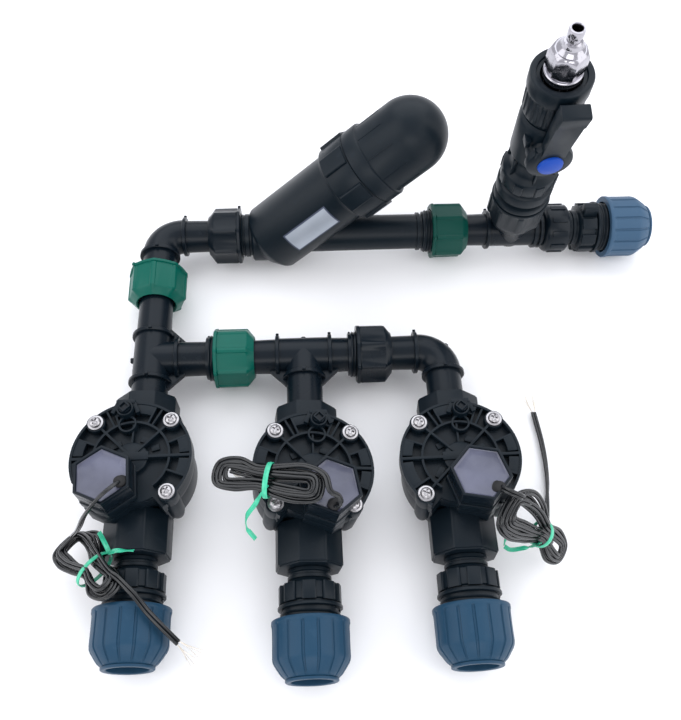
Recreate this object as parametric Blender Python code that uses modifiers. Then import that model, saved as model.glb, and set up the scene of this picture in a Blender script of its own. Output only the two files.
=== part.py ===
"""A three-way irrigation manifold: a supply line with a ball valve and a filter feeds three solenoid valves.

Metres, +Z up. The bench is z = 0, and the origin is where the middle outlet's nut rests on it, on that
valve's centreline. +X runs along the two pipe rows, and water leaves the valves towards -Y.
"""

import math

import bmesh
import bpy
from mathutils import Matrix, Vector

MM = 0.001
GAP = 0.3 * MM  # between pieces that touch
PLAY = 0.6 * MM  # round a piece that turns or slides
EMBED = 1.0 * MM  # how far a shape runs into the one it is joined to
PAST = 3.0 * MM  # how far a cutter runs past a wall

# Pipe and sockets, for 3/4 inch fittings
PIPE_R = 13.4 * MM
BORE_R = 9.5 * MM
BODY_R = 15.5 * MM  # the moulded middle of a tee or elbow
RIB_R = 17.0 * MM
RIB_WIDE = 3.0 * MM
CORNER_R = 17.0 * MM
ARM_START = 2.0 * MM  # from a fitting's centre, inside its round middle

# Union nuts
COLLAR_R = 18.9 * MM  # the tail's flange and the threaded sleeve inside a union nut
UNION_R = 24.0 * MM
LIP = 4.0 * MM
TAIL_FLANGE = 3.6 * MM
THREAD_SHOWS = 5.0 * MM

# Compression connections for 25 mm pipe, measured outwards from the valve's port face
SERVED_PIPE_R = 12.5 * MM
SOCKET_R = SERVED_PIPE_R + PLAY
PORT_DEEP = 12.0 * MM
NECK = 10.0 * MM
NECK_R = 15.5 * MM
GRIP = 15.0 * MM
GRIP_R = 21.5 * MM
FLANGE = 2.5 * MM
FLANGE_R = 22.5 * MM
SLEEVE = 20.5 * MM
SLEEVE_R = 21.0 * MM
STOP = 16.0 * MM  # how far in from the port face the served pipe stops
NUT_R = 27.0 * MM  # across the flats, so also the height of the pipes above the bench
NUT_START = 34.5 * MM
NUT_BARREL = 26.0 * MM
NUT_CONE = 13.3 * MM
NUT_END_R = 18.0 * MM
NUT_SIDES = 16
RING_GAP = 3.0 * MM  # where the nut's inner cone starts, beyond the sleeve
CONE_STOP = 8.0 * MM  # where it ends, before the nut's end face
RING_SHORT = 4.0 * MM  # how far before that the split ring ends

# Valve
VALVE_HALF = 62.0 * MM
PORT_FLATS = 46.0 * MM
BOWL_R = 42.0 * MM
BOWL_TOP = 28.0 * MM
BOWL_FOOT_R = 22.0 * MM
BOWL_FOOT = -21.0 * MM
BOWL_WAIST = -4.0 * MM
CHAMBER_R = 32.0 * MM
CHAMBER_FLOOR = 14.5 * MM
SEAT_R = 14.5 * MM
SEAT_TOP = 20.0 * MM
WATER_R = 11.0 * MM
RISER_R = 6.5 * MM
RISER_Y = 24.0 * MM
BONNET_R = 43.0 * MM
BONNET_TOP = 40.0 * MM
BONNET_ROOF = 33.0 * MM
SPRING_WELL_R = 11.0 * MM
SPRING_WELL_TOP = 37.0 * MM
SCREW_PCD = 76.4 * MM
SCREW_HEAD_R = 5.5 * MM
SCREW_HEAD = 3.4 * MM
DISC_R = 30.6 * MM
DISC_THICK = 4.0 * MM
PLATE_R = 10.5 * MM
PLATE_THICK = 2.0 * MM
SPRING_R = 7.5 * MM
SPRING_WIRE_R = 0.7 * MM
SPRING_TURNS = 3.5
POT_FLATS = 37.0 * MM
POT_HIGH = 18.0 * MM
PLUNGER_R = 4.7 * MM
PLUNGER_FOOT = 35.0 * MM
PLUNGER_LONG = 16.0 * MM
PLUNGER_LIFT = 2.5 * MM
BLEED_Y = 36.0 * MM
BLEED_BOSS_R = 6.0 * MM
BLEED_BOSS = 5.0 * MM
BLEED_STEM_R = 2.5 * MM
BLEED_HEAD_R = 4.6 * MM
BLEED_HEAD = 3.0 * MM
BLEED_FLOOR = 2.0 * MM  # of the bleed hole, above the roof
BLEED_TIP = 3.0 * MM  # of the bleed screw, above the roof

# Where the fittings stand: columns along X and rows along Y
COLUMN_1 = -121.8 * MM
COLUMN_2 = 0.0
COLUMN_3 = 110.9 * MM
VALVE_ROW = 222.0 * MM
SUPPLY_ROW = 346.0 * MM
NUT_MIDDLE = VALVE_HALF + NUT_START + NUT_BARREL / 2  # from a valve's centre
VALVES = (  # column, centre Y, lean about the flow axis in degrees, pot X, pot turn in degrees, bleed X
    (COLUMN_1, NUT_MIDDLE + 12.5 * MM, -1.4, -14.0 * MM, 95.0, -6.0 * MM),
    (COLUMN_2, NUT_MIDDLE, 7.8, 10.0 * MM, 100.0, 4.0 * MM),
    (COLUMN_3, NUT_MIDDLE + 4.7 * MM, -2.4, 10.0 * MM, 108.0, 4.0 * MM),
)
POT_Y = -19.5 * MM
GREEN_NUT_1 = 275.0 * MM
GREEN_NUT_2 = -39.3 * MM
BLACK_NUT_2 = 70.2 * MM
BLACK_NUT_1 = -79.8 * MM
GREEN_NUT_3 = 146.0 * MM
UNION_LONG = 31.5 * MM
SHORT_UNION = 28.0 * MM
SUPPLY_TEE = 185.7 * MM
SUPPLY_PORT = 49.0 * MM  # from the supply tee's centre to its threaded mouth
SUPPLY_SOCKET = 18.0 * MM
SUPPLY_SOCKET_R = 20.5 * MM
RIB_AT = 21.0 * MM  # from a fitting's centre
LUG_OUT = 27.0 * MM
LUG_WIDE = 9.0 * MM
LUG_LONG = 12.0 * MM

# Filter, measured along its bowl from the supply line's axis
FILTER_X = -21.8 * MM
BOWL_LEAN = Vector((0.752, 0.145, 0.643)).normalized()
FILTER_FACE = -42.0 * MM
FILTER_FACE_R = 22.0 * MM
HOUSING_R = 30.0 * MM
HOUSING_FOOT = -13.0 * MM
HOUSING_SHOULDER = 9.0 * MM
HOUSING_FLOOR = 9.0 * MM
HOUSING_TOP = 104.0 * MM
HOUSING_IN_R = 27.0 * MM
FILTER_FLANGE_R = 33.5 * MM
FILTER_FLANGE = 25.0 * MM
CAP_RING = 14.0 * MM
CAP_R = 31.0 * MM
CAP_IN_R = 28.0 * MM
CAP_STRAIGHT = 44.0 * MM
CAP_SKIRT = 12.0 * MM
CAP_SKIRT_WALL = 1.8 * MM
SCREEN_R = 20.0 * MM
SCREEN_WALL = 1.4 * MM
SCREEN_LONG = 138.0 * MM
OUTLET_PIPE_R = 15.0 * MM
WALL_BITE = 4.0 * MM  # how far the outlet's bore starts inside the housing's wall

# Ball valve, measured up its leaning axis from the supply tee
POST_LEAN = Vector((-0.038, -0.134, 0.990)).normalized()
POST_NUT = 20.0 * MM
POST_NUT_LONG = 37.0 * MM
POST_NUT_R = 24.5 * MM
POST_TAIL_R = 23.2 * MM
POST_TAIL_END = 98.0 * MM
POST_NECK_R = 17.0 * MM
BALL_BODY_START = 118.0 * MM
BALL_BODY_R = 20.5 * MM
BALL_AT = 138.0 * MM
BALL_R = 12.5 * MM
BALL_SIDES = 16
CAVITY_R = 13.8 * MM
BALL_BORE_R = 7.5 * MM
BALL_BODY_END = 162.0 * MM
TOP_NUT_R = 20.0 * MM
TOP_NUT_END = 201.0 * MM
TOP_SPIGOT_R = 15.8 * MM
TOP_SPIGOT_END = 196.0 * MM
STEM_R = 4.0 * MM
HUB_R = 14.0 * MM
HUB_OUT = 22.0 * MM
HANDLE_HUB_R = 16.5 * MM
HANDLE_THICK = 7.0 * MM
HANDLE_LONG = 60.0 * MM
HANDLE_WIDE = 19.0 * MM
HANDLE_TIP_DEEP = 14.0 * MM
HANDLE_TIP = 9.0 * MM
CAP_BUTTON_R = 9.0 * MM
CAP_BUTTON = 2.0 * MM
INSET = 0.2 * MM  # keeps the faces of joined shapes apart

# Quick plug
PLUG_SPIGOT_R = 9.8 * MM
PLUG_SPIGOT = 12.0 * MM
PLUG_FLANGE_R = 13.6 * MM
PLUG_FLANGE = 3.0 * MM
PLUG_FLATS = 24.0 * MM
PLUG_HEX = 18.0 * MM
PLUG_NECK_R = 6.5 * MM
PLUG_WAIST_R = 4.6 * MM
PLUG_TIP_R = 5.4 * MM
PLUG_TIP = 6.0 * MM
PLUG_GROOVE = 3.0 * MM
PLUG_BEVEL = 1.0 * MM
PLUG_LONG = 44.0 * MM
PLUG_BORE_R = 3.5 * MM

# Leads: a twin wire, laid as one tube, and hanks as flat bundles with round ends
LEAD_R = 1.9 * MM
LEAD_STEP = 9.5 * MM  # between a tube's rings
HANK_WIDE = 24.0 * MM
HANK_THICK = 12.0 * MM
LEAD_1 = (
    (-124.5, 97.0, 87.6), (-126.5, 91.0, 88.8), (-129.0, 85.0, 90.0), (-134.5, 79.0, 88.5),
    (-142.5, 76.5, 79.0), (-151.0, 78.0, 65.0), (-159.5, 81.0, 51.0), (-167.0, 81.0, 41.0),
    (-171.5, 77.0, 35.5), (-173.6, 71.0, 33.0),
)
TAIL_1 = (
    (-145.5, 62.5, 51.0), (-140.0, 57.0, 55.0), (-133.0, 50.0, 58.3), (-124.5, 39.5, 59.5),
    (-114.0, 27.5, 59.5), (-106.5, 18.5, 55.5), (-99.0, 11.0, 49.5), (-92.5, 5.0, 42.5),
    (-88.0, 1.0, 36.5),
)
LEAD_2 = (
    (18.0, 75.0, 88.0), (21.5, 72.0, 92.0), (22.0, 76.0, 97.0), (17.5, 80.2, 99.5), (13.2, 81.5, 99.5),
)
TAIL_3 = (
    (166.0, 66.5, 27.0), (171.0, 71.0, 17.0), (177.0, 81.0, 8.5), (182.5, 96.0, 4.2),
    (186.5, 114.0, 2.9), (188.0, 132.0, 2.6), (187.8, 150.0, 2.6), (186.6, 165.0, 2.6),
    (185.6, 176.0, 2.6),
)
HANKS = (  # name, one end, other end, which way its flat side faces
    ("lead_hank_1", (-174.0, 79.0, 18.0), (-138.0, 33.0, 60.0), (-0.7, 0.0, 0.7)),
    ("lead_hank_2", (-63.0, 104.0, 79.0), (11.0, 82.0, 97.0), (0.0, 0.0, 1.0)),
    ("lead_hank_3", (134.0, 72.0, 80.0), (184.5, 54.0, 14.0), (0.6, -0.3, 0.5)),
)

SIDES = 12  # round a pipe
ROUND = 24  # round a bonnet or a filter
DRILLED = 8  # round a bore

BLACK = ("black_plastic", (0.018, 0.021, 0.024, 1.0), 0.42, 0.0)
GREEN = ("green_plastic", (0.010, 0.180, 0.115, 1.0), 0.40, 0.0)
BLUE = ("blue_plastic", (0.060, 0.150, 0.260, 1.0), 0.45, 0.0)
CAP_BLUE = ("cap_blue", (0.010, 0.110, 0.480, 1.0), 0.35, 0.0)
RUBBER = ("rubber", (0.030, 0.030, 0.030, 1.0), 0.80, 0.0)
WHITE = ("white_plastic", (0.750, 0.750, 0.720, 1.0), 0.45, 0.0)
STEEL = ("steel", (0.600, 0.600, 0.610, 1.0), 0.30, 1.0)
CHROME = ("chrome", (0.800, 0.800, 0.820, 1.0), 0.10, 1.0)
MESH_GREY = ("screen_mesh", (0.450, 0.460, 0.470, 1.0), 0.40, 1.0)
WIRE = ("wire_sheath", (0.014, 0.014, 0.015, 1.0), 0.35, 0.0)


def clear_scene():
    for obj in list(bpy.data.objects):
        bpy.data.objects.remove(obj, do_unlink=True)


clear_scene()
PARTS = bpy.data.collections.new("irrigation_manifold")
CUTTERS = bpy.data.collections.new("cutters")
bpy.context.scene.collection.children.link(PARTS)
bpy.context.scene.collection.children.link(CUTTERS)


def material(spec):
    """The material of a spec, made once."""
    name, colour, roughness, metallic = spec
    if name in bpy.data.materials:
        return bpy.data.materials[name]
    made = bpy.data.materials.new(name)
    made.use_nodes = True
    shader = made.node_tree.nodes["Principled BSDF"]
    shader.inputs["Base Color"].default_value = colour
    shader.inputs["Roughness"].default_value = roughness
    shader.inputs["Metallic"].default_value = metallic
    return made


def frame_at(name, place, z_axis=(0, 0, 1), y_hint=(0, 1, 0), spin=0.0):
    """An empty whose +Z is z_axis, turned by spin degrees about it."""
    z = Vector(z_axis).normalized()
    x = Vector(y_hint).cross(z).normalized()
    turn = Matrix((x, z.cross(x), z)).transposed().to_4x4()
    empty = bpy.data.objects.new(name, None)
    empty.matrix_world = Matrix.Translation(place) @ turn @ Matrix.Rotation(math.radians(spin), 4, "Z")
    PARTS.objects.link(empty)
    return empty


def put(obj, frame, place=(0, 0, 0), towards=(0, 0, 1), spin=0.0):
    """Sets an object in a frame, with its own +Z along towards."""
    turn = Vector((0, 0, 1)).rotation_difference(Vector(towards)).to_matrix().to_4x4()
    obj.parent = frame
    obj.matrix_local = Matrix.Translation(place) @ turn @ Matrix.Rotation(math.radians(spin), 4, "Z")
    return obj


def part(obj, name, spec):
    """Names an object and makes it one of the parts."""
    obj.name = name
    obj.data.name = name
    obj.data.materials.clear()
    obj.data.materials.append(material(spec))
    PARTS.objects.link(obj)
    return obj


def helper(obj):
    """Makes an object a guide for a Boolean, left out of the model."""
    CUTTERS.objects.link(obj)
    obj.hide_render = True
    obj.display_type = "WIRE"
    return obj


def lathe(profile, steps=SIDES):
    """A turned solid about Z. The profile is (radius, z) pairs, from the top down the outer side."""
    mesh = bpy.data.meshes.new("turned")
    points = [(radius, 0.0, z) for radius, z in profile]
    loops = [(i, (i + 1) % len(points)) for i in range(len(points))]
    edges = [(a, b) for a, b in loops if profile[a][0] > 0 or profile[b][0] > 0]
    mesh.from_pydata(points, edges, [])
    obj = bpy.data.objects.new("turned", mesh)
    screw = obj.modifiers.new("turn", "SCREW")
    screw.steps = steps
    screw.render_steps = steps
    screw.use_merge_vertices = True
    screw.merge_threshold = 0.00001
    screw.use_smooth_shade = False
    return obj


def rod(radius, start, end, steps=SIDES):
    return lathe([(0, end), (radius, end), (radius, start), (0, start)], steps)


def box(size):
    """A cube primitive scaled to size, about its centre."""
    mesh = bpy.data.meshes.new("box")
    shape = bmesh.new()
    bmesh.ops.create_cube(shape, size=1.0, matrix=Matrix.Diagonal((*size, 1.0)))
    shape.to_mesh(mesh)
    shape.free()
    return bpy.data.objects.new("box", mesh)


def ball(radius, around=SIDES):
    mesh = bpy.data.meshes.new("ball")
    shape = bmesh.new()
    bmesh.ops.create_uvsphere(shape, u_segments=around, v_segments=around // 2, radius=radius)
    shape.to_mesh(mesh)
    shape.free()
    return bpy.data.objects.new("ball", mesh)


def combine(obj, others, operation):
    for other in others:
        modifier = obj.modifiers.new(operation.lower(), "BOOLEAN")
        modifier.operation = operation
        modifier.solver = "EXACT"
        modifier.object = helper(other)
    return obj


def add(obj, *others):
    return combine(obj, others, "UNION")


def cut(obj, *others):
    return combine(obj, others, "DIFFERENCE")


def corner_radius(flats, sides):
    """The radius to the corners of a regular prism that measures flats across its flats."""
    return flats / 2 / math.cos(math.pi / sides)


def smooth(points, step):
    """Points about a step apart on a Catmull-Rom curve through the given ones."""
    ends = [points[0] * 2 - points[1], *points, points[-1] * 2 - points[-2]]
    made = [points[0]]
    for before, a, b, after in zip(ends, ends[1:], ends[2:], ends[3:]):
        count = max(1, round((b - a).length / step))
        for k in range(1, count + 1):
            t = k / count
            made.append(
                0.5 * (2 * a + (b - before) * t + (2 * before - 5 * a + 4 * b - after) * t**2
                       + (3 * a - before - 3 * b + after) * t**3)
            )
    return made


def tube(points, radius, resolution=2):
    curve = bpy.data.curves.new("tube", "CURVE")
    curve.dimensions = "3D"
    curve.bevel_depth = radius
    curve.bevel_resolution = resolution
    curve.use_fill_caps = True
    spline = curve.splines.new("POLY")
    spline.points.add(len(points) - 1)
    for point, place in zip(spline.points, points):
        point.co = (*place, 1.0)
    return bpy.data.objects.new("tube", curve)


# Unions. A union nut starts at its lip, on the side of the piece with the tail.
def tail_end(nut_start):
    """Where the tail's flange ends, measured along the axis like nut_start."""
    return nut_start + LIP + GAP + TAIL_FLANGE


def tail_steps(nut_start):
    """(place, radius) steps of a tail that ends inside a union nut."""
    end = tail_end(nut_start)
    return [(end - TAIL_FLANGE, PIPE_R), (end, COLLAR_R)]


def thread_steps(lip_at, nut_long):
    """(place, radius) steps of a threaded sleeve that enters a nut whose lip is lip_at away, beyond it."""
    return [(lip_at - nut_long - THREAD_SHOWS, PIPE_R), (lip_at - tail_end(0.0) - GAP, COLLAR_R)]


def union_nut(name, spec, frame, place, towards, long, radius=UNION_R):
    hole = PIPE_R + PLAY
    bore = COLLAR_R + PLAY
    profile = [(bore, long), (radius, long), (radius, 0), (hole, 0), (hole, LIP), (bore, LIP)]
    nut = lathe(profile, NUT_SIDES)
    return put(part(nut, name, spec), frame, place, towards, 180 / NUT_SIDES)


def stepped(steps):
    """A turned solid from (end, radius) steps, given from one end to the other, starting at steps[0]."""
    profile = [(0, steps[0][0])]
    for (a, _), (b, radius) in zip(steps, steps[1:]):
        profile += [(radius, a), (radius, b)]
    profile.append((0, steps[-1][0]))
    return profile if steps[0][0] > steps[-1][0] else profile[::-1]


def arm(steps):
    """One arm of a fitting, from inside its round middle outwards."""
    return lathe(stepped([(ARM_START, 0.0), *steps]))


def bore(length, frame, place, towards, radius=BORE_R, start=-BORE_R, steps=DRILLED):
    return put(rod(radius, start, length + PAST, steps), frame, place, towards)


WORLD = frame_at("manifold", (0, 0, NUT_R))


def fitting(name, column, row, arms):
    """A tee or an elbow: a round middle with arms, each (frame, place, direction, steps)."""
    body = put(part(ball(CORNER_R), name, BLACK), WORLD, (column, row, 0))
    add(body, *[put(arm(steps), frame, place, towards) for frame, place, towards, steps in arms])
    reach = {towards: steps[-1][0] for _, _, towards, steps in arms}
    drilled = set()
    for frame, place, towards, steps in arms:
        back = tuple(-step for step in towards)
        if back not in drilled:
            # A straight run is drilled in one go, and a corner's bore stops inside the round middle.
            start = -reach[back] - PAST if back in reach else -BORE_R + EMBED
            cut(body, bore(steps[-1][0], frame, place, towards, start=start))
        drilled.add(towards)
    return body


def ribbed(*steps):
    """The steps of an arm that has a moulded rib near its root."""
    return [(RIB_AT - RIB_WIDE / 2, BODY_R), (RIB_AT + RIB_WIDE / 2, RIB_R), *steps]


def spigot(length):
    """A plain pipe end that enters a threaded port for most of its depth."""
    return (length + PORT_DEEP - GAP, PIPE_R)


def compression_end(names, frame, place, towards, lugs=()):
    """An adapter in a threaded port, its nut and the split ring that grips the pipe."""
    flange_start = NECK + GRIP
    sleeve_start = flange_start + FLANGE
    sleeve_end = sleeve_start + SLEEVE
    steps = [
        (GAP - PORT_DEEP, 0.0), (GAP, PIPE_R), (NECK, NECK_R), (flange_start, GRIP_R),
        (sleeve_start, FLANGE_R), (sleeve_end, SLEEVE_R),
    ]
    adapter = put(part(lathe(stepped(steps)), names[0], BLACK), frame, place, towards)
    add(adapter, *lugs)
    cut(adapter, bore(sleeve_end, frame, place, towards, start=-PORT_DEEP - PAST))
    cut(adapter, bore(sleeve_end, frame, place, towards, SOCKET_R, STOP, NUT_SIDES))
    barrel_end = NUT_START + NUT_BARREL
    nut_end = barrel_end + NUT_CONE
    seat_start = sleeve_end + RING_GAP
    seat_end = nut_end - CONE_STOP
    nut_bore = SLEEVE_R + PLAY
    outer = NUT_R / math.cos(math.pi / NUT_SIDES)
    profile = [
        (SOCKET_R + PLAY, nut_end), (NUT_END_R, nut_end), (outer, barrel_end), (outer, NUT_START),
        (nut_bore, NUT_START), (nut_bore, seat_start), (SOCKET_R + PLAY, seat_end),
    ]
    nut = lathe(profile, NUT_SIDES)
    put(part(nut, names[1], BLUE), frame, place, towards, 180 / NUT_SIDES)
    slope = (nut_bore - SOCKET_R - PLAY) / (seat_end - seat_start)
    ring_end = seat_end - RING_SHORT
    ring_r = nut_bore - slope * (ring_end - seat_start) - 2 * PLAY
    ring = lathe([
        (SOCKET_R, ring_end), (ring_r, ring_end), (nut_bore - 2 * PLAY, seat_start),
        (nut_bore - 2 * PLAY, sleeve_end + GAP), (SOCKET_R, sleeve_end + GAP),
    ])
    put(part(ring, names[2], WHITE), frame, place, towards)


def valve_body(number, frame):
    bowl = lathe([
        (0, BOWL_TOP), (BOWL_R, BOWL_TOP), (BOWL_R, BOWL_WAIST), (BOWL_FOOT_R, BOWL_FOOT), (0, BOWL_FOOT),
    ], ROUND)
    body = put(part(bowl, f"valve_body_{number}", BLACK), frame)
    ports = rod(corner_radius(PORT_FLATS, 8), -VALVE_HALF, VALVE_HALF, 8)
    add(body, put(ports, frame, (0, 0, 0), (0, 1, 0), 22.5))
    chamber = [
        (0, BOWL_TOP + PAST), (CHAMBER_R, BOWL_TOP + PAST), (CHAMBER_R, CHAMBER_FLOOR),
        (SEAT_R, CHAMBER_FLOOR), (SEAT_R, SEAT_TOP), (0, SEAT_TOP),
    ]
    cut(body, put(lathe(chamber), frame, spin=7))
    for side, inner in ((1, RISER_Y - RISER_R), (-1, -WATER_R + PLAY)):
        cut(body, put(rod(PIPE_R + PLAY, VALVE_HALF - PORT_DEEP, VALVE_HALF + PAST), frame,
                      (0, 0, 0), (0, side, 0)))
        cut(body, put(rod(WATER_R, inner, VALVE_HALF, DRILLED), frame, (0, 0, 0), (0, side, 0), 22))
    cut(body, put(rod(RISER_R, 0, CHAMBER_FLOOR + PAST, DRILLED), frame, (0, RISER_Y, 0)))
    cut(body, put(rod(WATER_R, 0, SEAT_TOP + PAST, DRILLED), frame))


def bonnet(number, frame, pot_x, bleed_x):
    underside = BOWL_TOP + GAP
    profile = [
        (0, BONNET_TOP), (BONNET_R, BONNET_TOP), (BONNET_R, underside), (CHAMBER_R, underside),
        (CHAMBER_R, BONNET_ROOF), (SPRING_WELL_R, BONNET_ROOF), (SPRING_WELL_R, SPRING_WELL_TOP),
        (0, SPRING_WELL_TOP),
    ]
    plate = put(part(lathe(profile, ROUND), f"bonnet_{number}", BLACK), frame)
    half = SCREW_PCD / 2 / math.sqrt(2)
    heads = [
        put(rod(SCREW_HEAD_R, BONNET_TOP - EMBED, BONNET_TOP + SCREW_HEAD, 10), frame, (x, y, 0))
        for x in (-half, half) for y in (-half, half)
        if math.hypot(x - pot_x, y - POT_Y) > corner_radius(POT_FLATS, 6) + SCREW_HEAD_R
    ]
    boss = rod(BLEED_BOSS_R, BONNET_TOP - EMBED, BONNET_TOP + BLEED_BOSS, 12)
    add(plate, *heads, put(boss, frame, (bleed_x, BLEED_Y, 0), spin=4))
    cut(plate, put(rod(BLEED_STEM_R + PLAY, BONNET_ROOF + BLEED_FLOOR, BONNET_TOP + BLEED_BOSS + PAST, 12),
                   frame, (bleed_x, BLEED_Y, 0), spin=9))
    cut(plate, put(rod(PLUNGER_R + PLAY, PLUNGER_FOOT - GAP, BONNET_TOP + PAST, 12), frame,
                   (pot_x, POT_Y, 0)))


def spring_points(start, end):
    """A coil's points, eight to a turn."""
    count = round(SPRING_TURNS * 8)
    low, high = start + SPRING_WIRE_R, end - SPRING_WIRE_R
    return [
        Vector((SPRING_R * math.cos(k * math.pi / 4), SPRING_R * math.sin(k * math.pi / 4),
                low + (high - low) * k / count))
        for k in range(count + 1)
    ]


def valve_insides(number, frame, pot_x, bleed_x):
    disc_foot = SEAT_TOP + GAP
    disc_top = disc_foot + DISC_THICK
    plate_top = disc_top + PLATE_THICK
    profile = [
        (0, plate_top), (PLATE_R, plate_top), (PLATE_R, disc_top), (DISC_R, disc_top),
        (DISC_R, disc_foot), (0, disc_foot),
    ]
    put(part(lathe(profile, 20), f"diaphragm_{number}", RUBBER), frame)
    coil = tube(spring_points(plate_top + GAP, SPRING_WELL_TOP - GAP), SPRING_WIRE_R, 1)
    put(part(coil, f"diaphragm_spring_{number}", STEEL), frame)
    plunger = rod(PLUNGER_R, PLUNGER_FOOT, PLUNGER_FOOT + PLUNGER_LONG, 12)
    put(part(plunger, f"plunger_{number}", STEEL), frame, (pot_x, POT_Y, 0))
    head_foot = BONNET_TOP + BLEED_BOSS + GAP
    screw = lathe([
        (0, head_foot + BLEED_HEAD), (BLEED_HEAD_R, head_foot + BLEED_HEAD), (BLEED_HEAD_R, head_foot),
        (BLEED_STEM_R, head_foot), (BLEED_STEM_R, BONNET_ROOF + BLEED_TIP), (0, BONNET_ROOF + BLEED_TIP),
    ], 12)
    put(part(screw, f"bleed_screw_{number}", BLACK), frame, (bleed_x, BLEED_Y, 0))


def solenoid(number, frame, pot_x, pot_turn):
    foot = BONNET_TOP + GAP
    pot = rod(corner_radius(POT_FLATS, 6), foot, foot + POT_HIGH, 6)
    put(part(pot, f"solenoid_{number}", BLACK), frame, (pot_x, POT_Y, 0), spin=pot_turn)
    top = PLUNGER_FOOT + PLUNGER_LONG + PLUNGER_LIFT + PLAY
    cut(pot, put(rod(PLUNGER_R + PLAY, foot - PAST, top, 12), frame, (pot_x, POT_Y, 0)))


def valve(number, column, middle, lean, pot_x, pot_turn, bleed_x):
    frame = frame_at(f"valve_{number}", (column, middle, NUT_R))
    frame.matrix_world = frame.matrix_world @ Matrix.Rotation(math.radians(lean), 4, "Y")
    valve_body(number, frame)
    bonnet(number, frame, pot_x, bleed_x)
    valve_insides(number, frame, pot_x, bleed_x)
    solenoid(number, frame, pot_x, pot_turn)
    names = (f"outlet_adapter_{number}", f"outlet_nut_{number}", f"split_ring_{number}")
    compression_end(names, WORLD, (column, middle - VALVE_HALF, 0), (0, -1, 0))


def fittings():
    """The tees and elbows between the valves and the supply line, and the union nuts that join them."""
    to_port = [VALVE_ROW - middle - VALVE_HALF for _, middle, *_ in VALVES]
    right, left, up, down = (1, 0, 0), (-1, 0, 0), (0, 1, 0), (0, -1, 0)

    def arms(column, row, *pairs):
        return [(WORLD, (column, row, 0), towards, ribbed(*steps)) for towards, steps in pairs]

    fitting("corner_elbow", COLUMN_1, SUPPLY_ROW, arms(
        COLUMN_1, SUPPLY_ROW,
        (right, tail_steps(BLACK_NUT_1 - COLUMN_1)),
        (down, thread_steps(SUPPLY_ROW - GREEN_NUT_1, UNION_LONG)),
    ))
    fitting("tee_1", COLUMN_1, VALVE_ROW, arms(
        COLUMN_1, VALVE_ROW,
        (up, tail_steps(GREEN_NUT_1 - VALVE_ROW)),
        (right, thread_steps(GREEN_NUT_2 - COLUMN_1, UNION_LONG)),
        (down, [spigot(to_port[0])]),
    ))
    fitting("tee_2", COLUMN_2, VALVE_ROW, arms(
        COLUMN_2, VALVE_ROW,
        (left, tail_steps(COLUMN_2 - GREEN_NUT_2)),
        (right, thread_steps(BLACK_NUT_2 - COLUMN_2, SHORT_UNION)),
        (down, [spigot(to_port[1])]),
    ))
    fitting("end_elbow", COLUMN_3, VALVE_ROW, arms(
        COLUMN_3, VALVE_ROW,
        (left, tail_steps(COLUMN_3 - BLACK_NUT_2)),
        (down, [spigot(to_port[2])]),
    ))
    union_nut("green_union_nut_1", GREEN, WORLD, (COLUMN_1, GREEN_NUT_1, 0), up, UNION_LONG)
    union_nut("green_union_nut_2", GREEN, WORLD, (GREEN_NUT_2, VALVE_ROW, 0), left, UNION_LONG)
    union_nut("green_union_nut_3", GREEN, WORLD, (GREEN_NUT_3, SUPPLY_ROW, 0), left, UNION_LONG)
    union_nut("black_union_nut_1", BLACK, WORLD, (BLACK_NUT_1, SUPPLY_ROW, 0), right, SHORT_UNION)
    union_nut("black_union_nut_2", BLACK, WORLD, (BLACK_NUT_2, VALVE_ROW, 0), left, SHORT_UNION)


def supply_end(post):
    """The supply tee, which carries the ball valve, and the connection for the supply pipe."""
    place = (SUPPLY_TEE, SUPPLY_ROW, 0)
    socket = (SUPPLY_PORT, SUPPLY_SOCKET_R)
    body = fitting("supply_tee", SUPPLY_TEE, SUPPLY_ROW, [
        (WORLD, place, (-1, 0, 0), ribbed(*tail_steps(SUPPLY_TEE - GREEN_NUT_3))),
        (WORLD, place, (1, 0, 0), ribbed((SUPPLY_PORT - SUPPLY_SOCKET, PIPE_R), socket)),
        (post, (0, 0, 0), (0, 0, 1), [(POST_NUT - PLAY, BODY_R), *tail_steps(POST_NUT)]),
    ])
    cut(body, put(rod(PIPE_R + PLAY, SUPPLY_PORT - PORT_DEEP, SUPPLY_PORT + PAST), WORLD, place, (1, 0, 0)))
    mouth = (SUPPLY_TEE + SUPPLY_PORT, SUPPLY_ROW, 0)
    lugs = [
        put(box((LUG_LONG, LUG_OUT, LUG_WIDE)), WORLD,
            (mouth[0] + NECK + GRIP / 2, SUPPLY_ROW + side * (LUG_OUT / 2 + PAST), 0))
        for side in (-1, 1)
    ]
    compression_end(("inlet_adapter", "inlet_nut", "split_ring_4"), WORLD, mouth, (1, 0, 0), lugs)


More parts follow.
